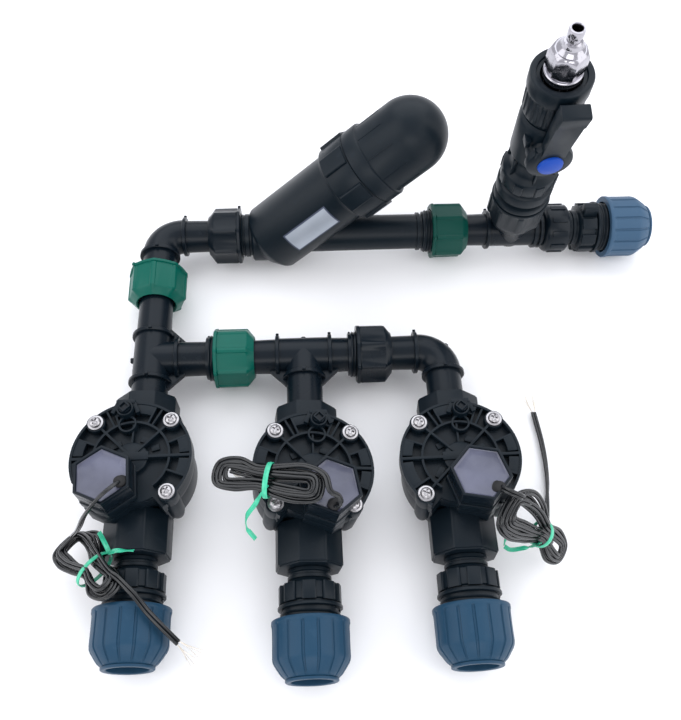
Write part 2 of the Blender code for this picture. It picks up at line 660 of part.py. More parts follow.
def filter_unit():
    """An inclined filter: housing with its ports, screen and screwed cap."""
    bowl = frame_at("filter_bowl", (FILTER_X, SUPPLY_ROW, NUT_R), BOWL_LEAN, (0, 0, 1))
    housing = lathe([
        (0, HOUSING_TOP), (FILTER_FLANGE_R, HOUSING_TOP), (FILTER_FLANGE_R, HOUSING_TOP - FILTER_FLANGE),
        (HOUSING_R, HOUSING_TOP - FILTER_FLANGE), (HOUSING_R, HOUSING_FOOT + HOUSING_SHOULDER),
        (HOUSING_R - HOUSING_SHOULDER, HOUSING_FOOT), (0, HOUSING_FOOT),
    ], ROUND)
    put(part(housing, "filter_housing", BLACK), bowl)
    inlet_end = tail_end(BLACK_NUT_1) + GAP
    outlet_end = GREEN_NUT_3 - tail_end(0.0) - GAP
    ports = lathe(stepped([
        (inlet_end, 0.0), (BLACK_NUT_1 + SHORT_UNION + THREAD_SHOWS, COLLAR_R),
        (FILTER_FACE, PIPE_R), (FILTER_X, FILTER_FACE_R),
        (GREEN_NUT_3 - UNION_LONG - THREAD_SHOWS, OUTLET_PIPE_R), (outlet_end, COLLAR_R),
    ]))
    add(housing, put(ports, WORLD, (0, SUPPLY_ROW, 0), (1, 0, 0)))
    hollow = rod(HOUSING_IN_R, HOUSING_FOOT + HOUSING_FLOOR, HOUSING_TOP + PAST, ROUND)
    cut(housing, put(hollow, bowl))
    along = math.hypot(BOWL_LEAN.y, BOWL_LEAN.z)
    past_hollow = HOUSING_IN_R / along - WALL_BITE
    cut(housing, put(rod(BORE_R, inlet_end - PAST, FILTER_X, 12), WORLD, (0, SUPPLY_ROW, 0), (1, 0, 0)))
    cut(housing, put(rod(BORE_R, FILTER_X + past_hollow, outlet_end + PAST, 12), WORLD,
                     (0, SUPPLY_ROW, 0), (1, 0, 0)))

    foot = HOUSING_TOP + GAP
    straight_end = foot + CAP_STRAIGHT
    arcs = [math.radians(a) for a in range(68, 0, -22)]
    skirt_r = HOUSING_IN_R - PLAY
    inner = [(CAP_IN_R * math.cos(a), straight_end + CAP_IN_R * math.sin(a)) for a in arcs[::-1]]
    cap = lathe([
        (0, straight_end + CAP_R),
        *[(CAP_R * math.cos(a), straight_end + CAP_R * math.sin(a)) for a in arcs],
        (CAP_R, straight_end), (CAP_R, foot + CAP_RING), (FILTER_FLANGE_R, foot + CAP_RING),
        (FILTER_FLANGE_R, foot), (skirt_r, foot), (skirt_r, foot - CAP_SKIRT),
        (skirt_r - CAP_SKIRT_WALL, foot - CAP_SKIRT), (skirt_r - CAP_SKIRT_WALL, foot + CAP_RING),
        (CAP_IN_R, foot + CAP_RING), (CAP_IN_R, straight_end), *inner, (0, straight_end + CAP_IN_R),
    ], ROUND)
    put(part(cap, "filter_cap", BLACK), bowl)
    start = HOUSING_FOOT + HOUSING_FLOOR + GAP
    end = start + SCREEN_LONG
    screen = lathe([
        (SCREEN_R - SCREEN_WALL, end), (SCREEN_R, end), (SCREEN_R, start), (SCREEN_R - SCREEN_WALL, start),
    ])
    put(part(screen, "filter_screen", MESH_GREY), bowl)


def ball_valve(post):
    """The ball valve on the supply tee: body, ball with its stem, handle and end nuts."""
    union_nut("post_union_nut", BLACK, post, (0, 0, POST_NUT), (0, 0, 1), POST_NUT_LONG, POST_NUT_R)
    shown = POST_NUT + POST_NUT_LONG + PLAY
    body = lathe(stepped([
        (tail_end(POST_NUT) + GAP, 0.0), (shown, COLLAR_R), (POST_TAIL_END, POST_TAIL_R),
        (BALL_BODY_START, POST_NECK_R), (BALL_BODY_END, BALL_BODY_R), (TOP_SPIGOT_END, TOP_SPIGOT_R),
    ]))
    put(part(body, "ball_valve_body", BLACK), post)
    front = (0, -1, 0)
    at = (0, 0, BALL_AT)
    add(body, put(rod(HUB_R, BALL_BODY_R / 2, HUB_OUT - PLAY), post, at, front, 180 / SIDES))
    cut(body, bore(TOP_SPIGOT_END, post, (0, 0, 0), (0, 0, 1)))
    cut(body, put(ball(CAVITY_R, BALL_SIDES), post, at))
    cut(body, put(rod(STEM_R + PLAY, 0, HUB_OUT + PAST, 12), post, at, front))
    cut(body, put(rod(PLUG_SPIGOT_R + PLAY, TOP_SPIGOT_END - PLUG_SPIGOT - GAP, TOP_SPIGOT_END + PAST),
                  post))

    core = put(part(ball(BALL_R, BALL_SIDES), "ball_and_stem", CHROME), post, at)
    add(core, put(rod(STEM_R, BALL_R / 2, HUB_OUT - GAP, 12), post, at, front))
    cut(core, put(rod(BALL_BORE_R, -BALL_R - PAST, BALL_R + PAST, DRILLED), post, at, spin=15))

    grip = rod(HANDLE_HUB_R, HUB_OUT, HUB_OUT + HANDLE_THICK, 20)
    put(part(grip, "ball_valve_handle", BLACK), post, at, front)
    middle = -HUB_OUT - HANDLE_THICK / 2
    tip = -HUB_OUT - HANDLE_TIP_DEEP / 2
    lever = box((HANDLE_WIDE, HANDLE_THICK - 2 * INSET, HANDLE_LONG))
    top = box((HANDLE_WIDE + 2 * INSET, HANDLE_TIP_DEEP, HANDLE_TIP))
    add(grip, put(lever, post, (0, middle, BALL_AT + HANDLE_LONG / 2)))
    add(grip, put(top, post, (0, tip, BALL_AT + HANDLE_LONG - HANDLE_TIP / 2 + EMBED)))
    face = HUB_OUT + HANDLE_THICK + GAP
    put(part(rod(CAP_BUTTON_R, face, face + CAP_BUTTON), "handle_cap", CAP_BLUE), post, at, front)

    bottom = BALL_BODY_END + PLAY
    nut = lathe([
        (TOP_SPIGOT_R + PLAY, TOP_NUT_END), (TOP_NUT_R, TOP_NUT_END), (TOP_NUT_R, bottom),
        (TOP_SPIGOT_R + PLAY, bottom),
    ])
    put(part(nut, "ball_valve_end_nut", BLACK), post)


def quick_plug(post):
    """The plated male plug screwed into the top of the ball valve."""
    foot = TOP_SPIGOT_END + GAP
    hex_start = foot + PLUG_FLANGE
    hex_end = hex_start + PLUG_HEX
    end = foot + PLUG_LONG
    waist_top = end - PLUG_TIP - PLUG_BEVEL
    waist_foot = waist_top - PLUG_GROOVE
    plug = lathe([
        (0, end), (PLUG_TIP_R, end), (PLUG_TIP_R, end - PLUG_TIP), (PLUG_WAIST_R, waist_top),
        (PLUG_WAIST_R, waist_foot), (PLUG_NECK_R, waist_foot - PLUG_BEVEL), (PLUG_NECK_R, hex_end - EMBED),
        (PLUG_WAIST_R, hex_start + EMBED), (PLUG_FLANGE_R, hex_start + EMBED / 2), (PLUG_FLANGE_R, foot),
        (PLUG_SPIGOT_R, foot), (PLUG_SPIGOT_R, foot - PLUG_SPIGOT), (0, foot - PLUG_SPIGOT),
    ])
    put(part(plug, "quick_plug", CHROME), post)
    add(plug, put(rod(corner_radius(PLUG_FLATS, 6), hex_start - EMBED / 2, hex_end, 6), post, spin=8))
    cut(plug, bore(end, post, (0, 0, 0), (0, 0, 1), PLUG_BORE_R, foot - PLUG_SPIGOT - PAST))


def leads():
    """The free twin leads: tubes where they run, and a flat bundle with round ends for each hank."""
    for name, route in (("lead_1", LEAD_1), ("lead_tail_1", TAIL_1), ("lead_2", LEAD_2),
                        ("lead_tail_3", TAIL_3)):
        points = smooth([Vector(point) * MM for point in route], LEAD_STEP)
        part(tube(points, LEAD_R), name, WIRE)
    for name, start, end, face in HANKS:
        start, end = Vector(start) * MM, Vector(end) * MM
        along = (end - start).normalized()
        bundle = rod(HANK_WIDE / 2, -HANK_THICK / 2, HANK_THICK / 2)
        flat = Vector(face) - along * along.dot(Vector(face))
        frame = frame_at(f"{name}_frame", (start + end) / 2, flat, flat.cross(along).cross(flat))
        half = (end - start).length / 2 - HANK_WIDE / 2
        put(part(bundle, name, WIRE), frame, (0, -half, 0))
        other = rod(HANK_WIDE / 2, INSET - HANK_THICK / 2, HANK_THICK / 2 - INSET)
        middle = box((HANK_WIDE - 2 * INSET, 2 * half, HANK_THICK - EMBED))
        add(bundle, put(middle, frame), put(other, frame, (0, half, 0)))


def build():
    for number, values in enumerate(VALVES, 1):
        valve(number, *values)
    fittings()
    post = frame_at("ball_valve", (SUPPLY_TEE, SUPPLY_ROW, NUT_R), POST_LEAN, (0, 1, 0), 3.0)
    supply_end(post)
    filter_unit()
    ball_valve(post)
    quick_plug(post)
    leads()
    for obj in PARTS.objects:
        if obj.type == "MESH":
            obj.data.shade_smooth()
            obj.data.set_sharp_from_angle(angle=math.radians(35))


build()
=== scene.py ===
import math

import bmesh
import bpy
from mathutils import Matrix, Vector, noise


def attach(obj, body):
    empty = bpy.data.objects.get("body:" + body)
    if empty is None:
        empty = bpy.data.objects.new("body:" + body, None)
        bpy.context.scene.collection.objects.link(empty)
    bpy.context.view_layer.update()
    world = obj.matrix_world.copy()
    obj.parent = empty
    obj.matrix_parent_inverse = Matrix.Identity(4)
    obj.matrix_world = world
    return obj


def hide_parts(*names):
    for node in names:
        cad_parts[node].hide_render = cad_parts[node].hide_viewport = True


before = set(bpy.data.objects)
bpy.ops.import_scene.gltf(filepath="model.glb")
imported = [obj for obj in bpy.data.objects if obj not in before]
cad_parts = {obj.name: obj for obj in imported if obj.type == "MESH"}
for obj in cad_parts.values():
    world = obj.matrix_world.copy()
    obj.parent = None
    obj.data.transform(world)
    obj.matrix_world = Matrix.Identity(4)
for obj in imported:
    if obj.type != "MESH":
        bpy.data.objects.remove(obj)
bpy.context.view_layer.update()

# %% [markdown]
# # An irrigation manifold with three solenoid valves
# Water comes in at the right, passes a tee that carries a ball valve and an inclined screen filter, and is
# shared between three diaphragm valves. Each valve lets water out towards the reader through a blue
# compression nut. The fixed frame loaded above holds every solid part at its true size; this lesson builds
# the visible pieces round it, one at a time. All our own lengths are in millimetres until a piece is finished.

MM = 0.001
FIXED = "manifold"

# %% [markdown]
# ## The camera
# A camera is an object like any other. It looks down its own -Z with +Y up, so its turn is built from three
# plain turns: heading, downward pitch, and a small roll. This one stands in front of the outlets and looks
# steeply down at the bench.

# %% Camera
CAMERA_AT = Vector((5.1, -103.9, 597.4)) * MM
HEADING, PITCH_DOWN, ROLL = (math.radians(a) for a in (4.35, 60.56, 2.06))
camera = bpy.data.objects.new("camera", bpy.data.cameras.new("camera"))
camera.matrix_world = (
    Matrix.Translation(CAMERA_AT)
    @ Matrix.Rotation(-HEADING, 4, "Z")
    @ Matrix.Rotation(math.pi / 2 - PITCH_DOWN, 4, "X")
    @ Matrix.Rotation(ROLL, 4, "Z")
)
camera.data.sensor_width = 36.0
camera.data.lens = 40.54
camera.data.clip_start = 0.01
bpy.context.scene.collection.objects.link(camera)
bpy.context.scene.camera = camera
print("camera at", tuple(round(x, 3) for x in camera.location))
# %% [markdown]
# ## Materials as sums
# A finish is a small network of nodes. Wiring it by hand is slow to read, so one class wraps a socket and
# gives it the ordinary signs of arithmetic: writing a * 0.3 + b adds the Math nodes and the links. A second
# class holds one material and makes any other node from its type, its settings and its inputs.

# %% A socket that can be added and multiplied
class Value:
    """The output of a shader node, with arithmetic."""

    def __init__(self, tree, socket):
        self.tree, self.socket = tree, socket

    def maths(self, operation, a, b=0.0):
        node = self.tree.nodes.new("ShaderNodeMath")
        node.operation = operation
        for socket, value in zip(node.inputs, (a, b)):
            if isinstance(value, Value):
                self.tree.links.new(value.socket, socket)
            else:
                socket.default_value = value
        return Value(self.tree, node.outputs[0])

    def __add__(self, other):
        return self.maths("ADD", self, other)

    def __mul__(self, other):
        return self.maths("MULTIPLY", self, other)

    def __sub__(self, other):
        return self.maths("SUBTRACT", self, other)

    def __rsub__(self, other):
        return self.maths("SUBTRACT", other, self)

    __radd__, __rmul__ = __add__, __mul__


# %% One material
class Look:
    """A material under construction."""

    def __init__(self, name, colour, roughness, metallic=0.0, coat=0.0, specular=0.5):
        self.material = bpy.data.materials.new(name)
        self.material.use_nodes = True
        self.tree = self.material.node_tree
        self.shader = self.tree.nodes["Principled BSDF"]
        self.colour = (*colour, 1.0)
        plain = {"Base Color": self.colour, "Roughness": roughness, "Metallic": metallic,
                 "Coat Weight": coat, "Coat Roughness": 0.12, "Specular IOR Level": specular}
        for socket, value in plain.items():
            self.shader.inputs[socket].default_value = value

    def node(self, kind, settings=None, inputs=None, output=0):
        """Any node: its settings are made first, then its inputs are given values or links."""
        made = self.tree.nodes.new(kind)
        for key, value in (settings or {}).items():
            if key == "stops":
                for element, (place, colour) in zip(made.color_ramp.elements, value):
                    element.position, element.color = place, colour
            else:
                setattr(made, key, value)
        for key, value in (inputs or {}).items():
            if isinstance(value, Value):
                self.tree.links.new(value.socket, made.inputs[key])
            else:
                made.inputs[key].default_value = value
        return Value(self.tree, made.outputs[output])

    def place(self):
        """Where a point of the piece is, in its own metres."""
        return self.node("ShaderNodeTexCoord", output=3)

    def noise(self, scale, detail=3.0, at=None):
        """Soft noise from 0 to 1; scale is in bumps a metre."""
        return self.node("ShaderNodeTexNoise", inputs={
            "Vector": at or self.place(), "Scale": scale, "Detail": detail}, output=0)

    def ramp(self, value, low, high):
        """0 below low, 1 above high, a straight slope between."""
        return self.node("ShaderNodeMapRange", inputs={
            "Value": value, "From Min": low, "From Max": high}, output=0)

    def blend(self, share, one, two):
        """A colour between two, by share."""
        return self.node("ShaderNodeMix", {"data_type": "RGBA"}, {0: share, 6: (*one, 1.0), 7: (*two, 1.0)},
                         2)

    def feed(self, socket, value):
        self.tree.links.new(value.socket, self.shader.inputs[socket])

    def bump(self, height, strength, distance=0.0001):
        bumped = self.node("ShaderNodeBump", inputs={
            "Height": height, "Strength": strength, "Distance": distance})
        self.feed("Normal", bumped)


LOOKS = {}
print("material helpers are ready")

# %% [markdown]
# ## Moulded plastics
# Nearly everything here is injection-moulded polypropylene. What makes it look moulded is a very fine grain
# in the surface, a sheen that varies slowly where the melt cooled unevenly, a few paler rub marks, and a
# faint film of dust. Black polypropylene under a window has a slightly blue cast.

# %% Moulded plastic
def moulded(name, colour, pale, roughness, grain=0.35, coat=0.0, rubs=0.35):
    """Grained plastic: pale is the colour of its rub marks and dust."""
    look = Look(name, colour, roughness, coat=coat, specular=0.19)
    slow = look.noise(28.0, 4.0)
    fine = look.noise(2600.0, 2.0)
    scuffs = look.ramp(look.noise(160.0, 6.0), 0.60, 0.74)
    dust = look.ramp(look.noise(900.0, 3.0), 0.64, 0.80)
    share = scuffs * rubs * 0.45 + dust * rubs * 0.35 + slow * 0.14
    look.feed("Base Color", look.blend(share, colour, pale))
    look.feed("Roughness", slow * 0.16 + scuffs * 0.10 + (roughness - 0.08))
    look.bump(fine + scuffs * 0.4, grain, 0.00006)
    LOOKS[name] = look.material
    return look


moulded("moulded_black", (0.0026, 0.0068, 0.0110), (0.016, 0.024, 0.034), 0.38, rubs=0.40)
moulded("moulded_black_fine", (0.0022, 0.0056, 0.0095), (0.014, 0.021, 0.031), 0.29, grain=0.22, rubs=0.32)
moulded("moulded_green", (0.000, 0.086, 0.062), (0.001, 0.135, 0.102), 0.34, rubs=0.26)
moulded("moulded_dark_green", (0.000, 0.048, 0.036), (0.002, 0.085, 0.066), 0.38, rubs=0.30)
moulded("moulded_blue", (0.010, 0.044, 0.086), (0.036, 0.090, 0.150), 0.42, rubs=0.35)
moulded("moulded_pale_blue", (0.036, 0.084, 0.148), (0.080, 0.140, 0.215), 0.44, rubs=0.35)
moulded("moulded_cap_blue", (0.002, 0.048, 0.350), (0.030, 0.140, 0.520), 0.32, rubs=0.25)
moulded("acetal_white", (0.72, 0.72, 0.69), (0.85, 0.85, 0.83), 0.40, rubs=0.2)
moulded("rubber_black", (0.020, 0.020, 0.021), (0.070, 0.070, 0.072), 0.72, grain=0.5, rubs=0.6)
print("plastics:", sorted(LOOKS))

# %% [markdown]
# ## Metals, resin, wire and label
# Bright steel screws show fine turning marks and small dull spots. The plated plug is cleaner. The coil is
# sealed in its cup with a grey casting resin, which sets with a soft, wavy gloss. The wire sheath is smooth
# PVC, and the label is a silvered film with a faint brushed line.

# %% The other finishes
def metal(name, colour, roughness, marks):
    look = Look(name, colour, roughness, metallic=1.0)
    turning = look.noise(1800.0, 2.0)
    spots = look.ramp(look.noise(420.0, 5.0), 0.58, 0.72)
    look.feed("Base Color", look.blend(spots * marks, colour, tuple(c * 0.55 for c in colour)))
    look.feed("Roughness", spots * marks * 0.5 + turning * 0.08 + (roughness - 0.03))
    look.bump(turning, 0.15 * marks + 0.05, 0.00005)
    LOOKS[name] = look.material


metal("bright_steel", (0.42, 0.41, 0.42), 0.30, 0.8)
metal("plated_steel", (0.40, 0.39, 0.42), 0.15, 0.45)
metal("spring_steel", (0.58, 0.59, 0.61), 0.30, 0.6)
metal("tinned_copper", (0.62, 0.56, 0.47), 0.35, 0.5)

resin = Look("casting_resin", (0.080, 0.084, 0.130), 0.26, coat=0.12)
cloud = resin.noise(34.0, 4.0)
wave = resin.noise(110.0, 3.0)
resin.feed("Base Color", resin.blend(resin.ramp(cloud, 0.30, 0.72), (0.052, 0.056, 0.090),
                                     (0.102, 0.108, 0.166)))
resin.feed("Roughness", cloud * 0.20 + 0.14)
resin.bump(wave, 0.25, 0.0004)
LOOKS["casting_resin"] = resin.material

sheath = Look("wire_sheath", (0.004, 0.005, 0.006), 0.24, coat=0.30, specular=0.40)
sheath_cloud = sheath.noise(90.0, 3.0)
sheath.feed("Base Color", sheath.blend(sheath_cloud * 0.5, (0.003, 0.004, 0.005), (0.010, 0.012, 0.014)))
sheath.feed("Roughness", sheath_cloud * 0.16 + 0.16)
sheath.bump(sheath.noise(2200.0, 2.0), 0.12, 0.00005)
LOOKS["wire_sheath"] = sheath.material

tie = Look("tie_green", (0.006, 0.420, 0.215), 0.34, coat=0.25)
tie_cloud = tie.noise(260.0, 4.0)
tie.feed("Base Color", tie.blend(tie_cloud, (0.000, 0.300, 0.150), (0.070, 0.640, 0.400)))
tie.feed("Roughness", tie_cloud * 0.25 + 0.22)
tie.bump(tie.noise(1500.0, 2.0), 0.3, 0.0001)
LOOKS["tie_green"] = tie.material

film = Look("label_film", (0.56, 0.58, 0.62), 0.34, metallic=0.35)
stretched = film.node("ShaderNodeMapping", inputs={"Vector": film.place(), "Scale": (1.0, 1.0, 9.0)})
brushed = film.noise(900.0, 3.0, stretched)
film.feed("Base Color", film.blend(brushed * 0.6 + film.noise(60.0) * 0.4, (0.30, 0.34, 0.40),
                                   (0.50, 0.54, 0.60)))
film.feed("Roughness", brushed * 0.15 + 0.28)
film.bump(brushed, 0.12, 0.00004)
LOOKS["label_film"] = film.material
moulded("label_ink", (0.060, 0.072, 0.110), (0.160, 0.170, 0.210), 0.45, rubs=0.3)
print("finishes:", len(LOOKS))
# %% [markdown]
# ## Building shapes
# A moulded fitting is mostly turned shapes, straight prisms and swept tubes, put together with small rounded
# edges that catch the light. The class below gathers such closed shells in one mesh, in millimetres, and
# rounds each one's sharp edges as it is added. Its finish step scales the mesh to metres, leaves the object
# at the origin, parents it to an empty for its body, and hides the frame's parts that it stands for.

# %% Angles of ribs round an axis
def teeth(count, share, slope=0.12, first=0.0, across=2, between=2):
    """(angle, height share) round a circle, for count ribs that each take up share of their pitch."""
    pitch = math.tau / count
    rows = []
    for k in range(count):
        middle = first + k * pitch
        half, edge = pitch * share / 2, pitch * slope
        rows += [(middle - half + 2 * half * i / across, 1.0) for i in range(across + 1)]
        start, stop = middle + half + edge, middle + pitch - half - edge
        rows += [(start + (stop - start) * i / between, 0.0) for i in range(between + 1)]
    return rows


def smooth_round(steps, first=0.0):
    return [(first + math.tau * k / steps, 0.0) for k in range(steps)]


# %% A mesh made of closed shells
ROUND_OFF = math.radians(32)


class Solid:
    """Closed shells in millimetres, gathered into one piece."""

    def __init__(self):
        self.mesh = bmesh.new()

    def close(self, verts, at, bevel):
        """Puts a new shell in place, with its faces outwards and its sharp edges rounded."""
        faces = list({face for vert in verts for face in vert.link_faces})
        bmesh.ops.recalc_face_normals(self.mesh, faces=faces)
        if bevel:
            edges = {edge for vert in verts for edge in vert.link_edges}
            sharp = [e for e in edges if len(e.link_faces) == 2 and e.calc_face_angle(0.0) > ROUND_OFF]
            done = bmesh.ops.bevel(self.mesh, geom=sharp, offset=bevel, segments=2, profile=0.6,
                                   affect="EDGES", clamp_overlap=True)
            verts = {v for v in verts if v.is_valid} | set(done["verts"])
        bmesh.ops.transform(self.mesh, matrix=at, verts=list(verts))
        return self

    def turned(self, profile, at=Matrix(), angles=48, bevel=0.0):
        """A shape turned about Z. Rows are (radius, z) or (radius, z, rib height), and 0 is on the axis."""
        stations = smooth_round(angles) if isinstance(angles, int) else angles
        rings, made = [], []
        for radius, z, *rib in profile:
            if radius <= 0:
                ring = [self.mesh.verts.new((0, 0, z))] * len(stations)
                made.append(ring[0])
            else:
                lift = rib[0] if rib else 0.0
                ring = [self.mesh.verts.new(((radius + lift * share) * math.cos(a),
                                             (radius + lift * share) * math.sin(a), z))
                        for a, share in stations]
                made += ring
            rings.append(ring)
        pairs = list(zip(rings, rings[1:]))
        if profile[0][0] > 0:
            pairs.append((rings[-1], rings[0]))
        for one, two in pairs:
            for k in range(len(stations)):
                after = (k + 1) % len(stations)
                corners = []
                for vert in (one[k], one[after], two[after], two[k]):
                    if vert not in corners:
                        corners.append(vert)
                if len(corners) > 2:
                    self.mesh.faces.new(corners)
        return self.close(made, at, bevel)

    def prism(self, outline, low, high, at=Matrix(), bevel=0.0, taper=1.0):
        """An outline in X and Y, raised from low to high; taper scales the top."""
        foot = [self.mesh.verts.new((x, y, low)) for x, y in outline]
        top = [self.mesh.verts.new((x * taper, y * taper, high)) for x, y in outline]
        for k in range(len(outline)):
            after = (k + 1) % len(outline)
            self.mesh.faces.new((foot[k], foot[after], top[after], top[k]))
        self.mesh.faces.new(foot[::-1])
        self.mesh.faces.new(top)
        return self.close(foot + top, at, bevel)

    def block(self, size, centre, at=Matrix(), bevel=0.0, turn=0.0):
        """A box about a centre, turned about Z by turn degrees."""
        x, y, z = (s / 2 for s in size)
        here = at @ Matrix.Translation(centre) @ Matrix.Rotation(math.radians(turn), 4, "Z")
        return self.prism(((-x, -y), (x, -y), (x, y), (-x, y)), -z, z, here, bevel)

    def tube(self, points, radius, sides=10, side=None):
        """A round bar along points. A function of the share along it may give the radius."""
        points = [Vector(p) for p in points]
        count = len(points)
        rings = []
        across = side or Vector((0.3, 0.2, 1.0))
        for k, point in enumerate(points):
            along = (points[min(k + 1, count - 1)] - points[max(k - 1, 0)]).normalized()
            across = (across - along * across.dot(along)).normalized()
            other = along.cross(across)
            size = radius(k / (count - 1)) if callable(radius) else radius
            rings.append([self.mesh.verts.new(point + (across * math.cos(a) + other * math.sin(a)) * size)
                          for a in (math.tau * i / sides for i in range(sides))])
        for one, two in zip(rings, rings[1:]):
            for i in range(sides):
                self.mesh.faces.new((one[i], one[(i + 1) % sides], two[(i + 1) % sides], two[i]))
        self.mesh.faces.new(rings[0][::-1])
        self.mesh.faces.new(rings[-1])
        return self.close([v for ring in rings for v in ring], Matrix(), 0.0)

    def add_mesh(self, mesh, at=Matrix()):
        """Adds a finished mesh."""
        before = set(self.mesh.verts)
        self.mesh.from_mesh(mesh)
        bmesh.ops.transform(self.mesh, matrix=at, verts=[v for v in self.mesh.verts if v not in before])
        return self

    def finish(self, name, body, slot, look, *nodes, smooth=40.0):
        """The finished piece: metres, at the origin, with its material, body and the nodes it stands for. slot is not
        used.
        """
        mesh = bpy.data.meshes.new(name)
        bmesh.ops.transform(self.mesh, matrix=Matrix.Scale(MM, 4), verts=self.mesh.verts)
        self.mesh.to_mesh(mesh)
        self.mesh.free()
        mesh.shade_smooth()
        mesh.set_sharp_from_angle(angle=math.radians(smooth))
        mesh.materials.clear()
        mesh.materials.append(LOOKS[look])
        piece = bpy.data.objects.new(name, mesh)
        bpy.context.scene.collection.objects.link(piece)
        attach(piece, body)
        if nodes:
            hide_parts(*nodes)
        return piece


print("shape helpers are ready")

# %% [markdown]
# ## Copies round an axis, with Geometry Nodes
# Screws on a pitch circle, ribs round a nut and lugs round a flange are one shape repeated at even angles.
# A small node tree does this: it puts points on a circle, turns a copy of the shape to face outwards at each
# point, makes the copies real, and gives them their material. A second tree winds a screw thread: a spiral
# curve with a round section swept along it.

# %% The two trees
def new_tree(name, sockets):
    """A geometry tree with named inputs; gives back the tree, its input node and its output node."""
    tree = bpy.data.node_groups.new(name, "GeometryNodeTree")
    for label, kind in sockets:
        tree.interface.new_socket(label, in_out="INPUT", socket_type=kind)
    tree.interface.new_socket("Geometry", in_out="OUTPUT", socket_type="NodeSocketGeometry")
    return tree, tree.nodes.new("NodeGroupInput"), tree.nodes.new("NodeGroupOutput")


def join_nodes(tree, *links):
    for source, output, target, socket in links:
        tree.links.new(source.outputs[output], target.inputs[socket])


RING, given, result = new_tree("copies_round_an_axis", [
    ("Shape", "NodeSocketObject"), ("Count", "NodeSocketInt"), ("Radius", "NodeSocketFloat"),
    ("Left out", "NodeSocketInt"), ("Material", "NodeSocketMaterial")])
shape_info = RING.nodes.new("GeometryNodeObjectInfo")
circle = RING.nodes.new("GeometryNodeMeshCircle")
number = RING.nodes.new("GeometryNodeInputIndex")
same = RING.nodes.new("FunctionNodeCompare")
same.data_type, same.operation = "INT", "EQUAL"
drop = RING.nodes.new("GeometryNodeDeleteGeometry")
where = RING.nodes.new("GeometryNodeInputPosition")
face_out = RING.nodes.new("FunctionNodeAlignRotationToVector")
face_out.axis, face_out.pivot_axis = "X", "Z"
copy_to = RING.nodes.new("GeometryNodeInstanceOnPoints")
make_real = RING.nodes.new("GeometryNodeRealizeInstances")
paint = RING.nodes.new("GeometryNodeSetMaterial")
join_nodes(
    RING, (given, "Shape", shape_info, "Object"), (given, "Count", circle, "Vertices"),
    (given, "Radius", circle, "Radius"), (number, 0, same, 2), (given, "Left out", same, 3),
    (circle, "Mesh", drop, "Geometry"), (same, 0, drop, "Selection"), (where, 0, face_out, "Vector"),
    (drop, 0, copy_to, "Points"), (shape_info, "Geometry", copy_to, "Instance"),
    (face_out, 0, copy_to, "Rotation"), (copy_to, 0, make_real, "Geometry"),
    (make_real, 0, paint, "Geometry"), (given, "Material", paint, "Material"), (paint, 0, result, "Geometry"))

THREAD, given, result = new_tree("screw_thread", [
    ("Radius", "NodeSocketFloat"), ("Pitch", "NodeSocketFloat"), ("Turns", "NodeSocketFloat"),
    ("Depth", "NodeSocketFloat"), ("Material", "NodeSocketMaterial")])
rise = THREAD.nodes.new("ShaderNodeMath")
rise.operation = "MULTIPLY"
spiral = THREAD.nodes.new("GeometryNodeCurveSpiral")
spiral.inputs["Resolution"].default_value = 48
section = THREAD.nodes.new("GeometryNodeCurvePrimitiveCircle")
section.inputs["Resolution"].default_value = 6
sweep = THREAD.nodes.new("GeometryNodeCurveToMesh")
sweep.inputs["Fill Caps"].default_value = True
make_real = THREAD.nodes.new("GeometryNodeRealizeInstances")
paint = THREAD.nodes.new("GeometryNodeSetMaterial")
join_nodes(
    THREAD, (given, "Pitch", rise, 0), (given, "Turns", rise, 1), (rise, 0, spiral, "Height"),
    (given, "Turns", spiral, "Rotations"), (given, "Radius", spiral, "Start Radius"),
    (given, "Radius", spiral, "End Radius"), (given, "Depth", section, "Radius"),
    (spiral, 0, sweep, "Curve"), (section, 0, sweep, "Profile Curve"), (sweep, 0, make_real, "Geometry"),
    (make_real, 0, paint, "Geometry"), (given, "Material", paint, "Material"), (paint, 0, result, "Geometry"))


def grown(tree, look, **values):
    """The plain mesh that a tree makes. Inputs are set by their sockets' identifiers, found from the names."""
    holder = bpy.data.objects.new("grower", bpy.data.meshes.new("grower"))
    bpy.context.scene.collection.objects.link(holder)
    modifier = holder.modifiers.new("grow", "NODES")
    modifier.node_group = tree
    values["Material"] = LOOKS[look]
    for item in tree.interface.items_tree:
        if item.in_out == "INPUT":
            modifier[item.identifier] = values[item.name.replace(" ", "_")]
    bpy.context.view_layer.update()
    evaluated = holder.evaluated_get(bpy.context.evaluated_depsgraph_get())
    mesh = bpy.data.meshes.new_from_object(evaluated)
    bpy.data.objects.remove(holder)
    return mesh


def copies(solid, shape, count, radius, look, at=Matrix(), left_out=-1):
    """Adds count copies of a small Solid, which faces +X, on a circle."""
    mesh = bpy.data.meshes.new("shape")
    shape.mesh.to_mesh(mesh)
    shape.mesh.free()
    seed = bpy.data.objects.new("shape", mesh)
    bpy.context.scene.collection.objects.link(seed)
    made = grown(RING, look, Shape=seed, Count=count, Radius=float(radius), Left_out=left_out)
    bpy.data.objects.remove(seed)
    return solid.add_mesh(made, at)


def thread(solid, radius, pitch, turns, depth, look, at=Matrix()):
    made = grown(THREAD, look, Radius=float(radius), Pitch=float(pitch), Turns=float(turns),
                 Depth=float(depth))
    return solid.add_mesh(made, at)


print("trees:", RING.name, THREAD.name)
# %% [markdown]
# ## Where the pieces stand
# Three kinds of place are used again and again: each valve's own frame, with its origin on the flow axis
# under the bonnet's middle, the leaning axis of the ball valve, and the leaning axis of the filter. Each is a
# 4 by 4 matrix in millimetres, so a shape can be made about its own Z and then put there.

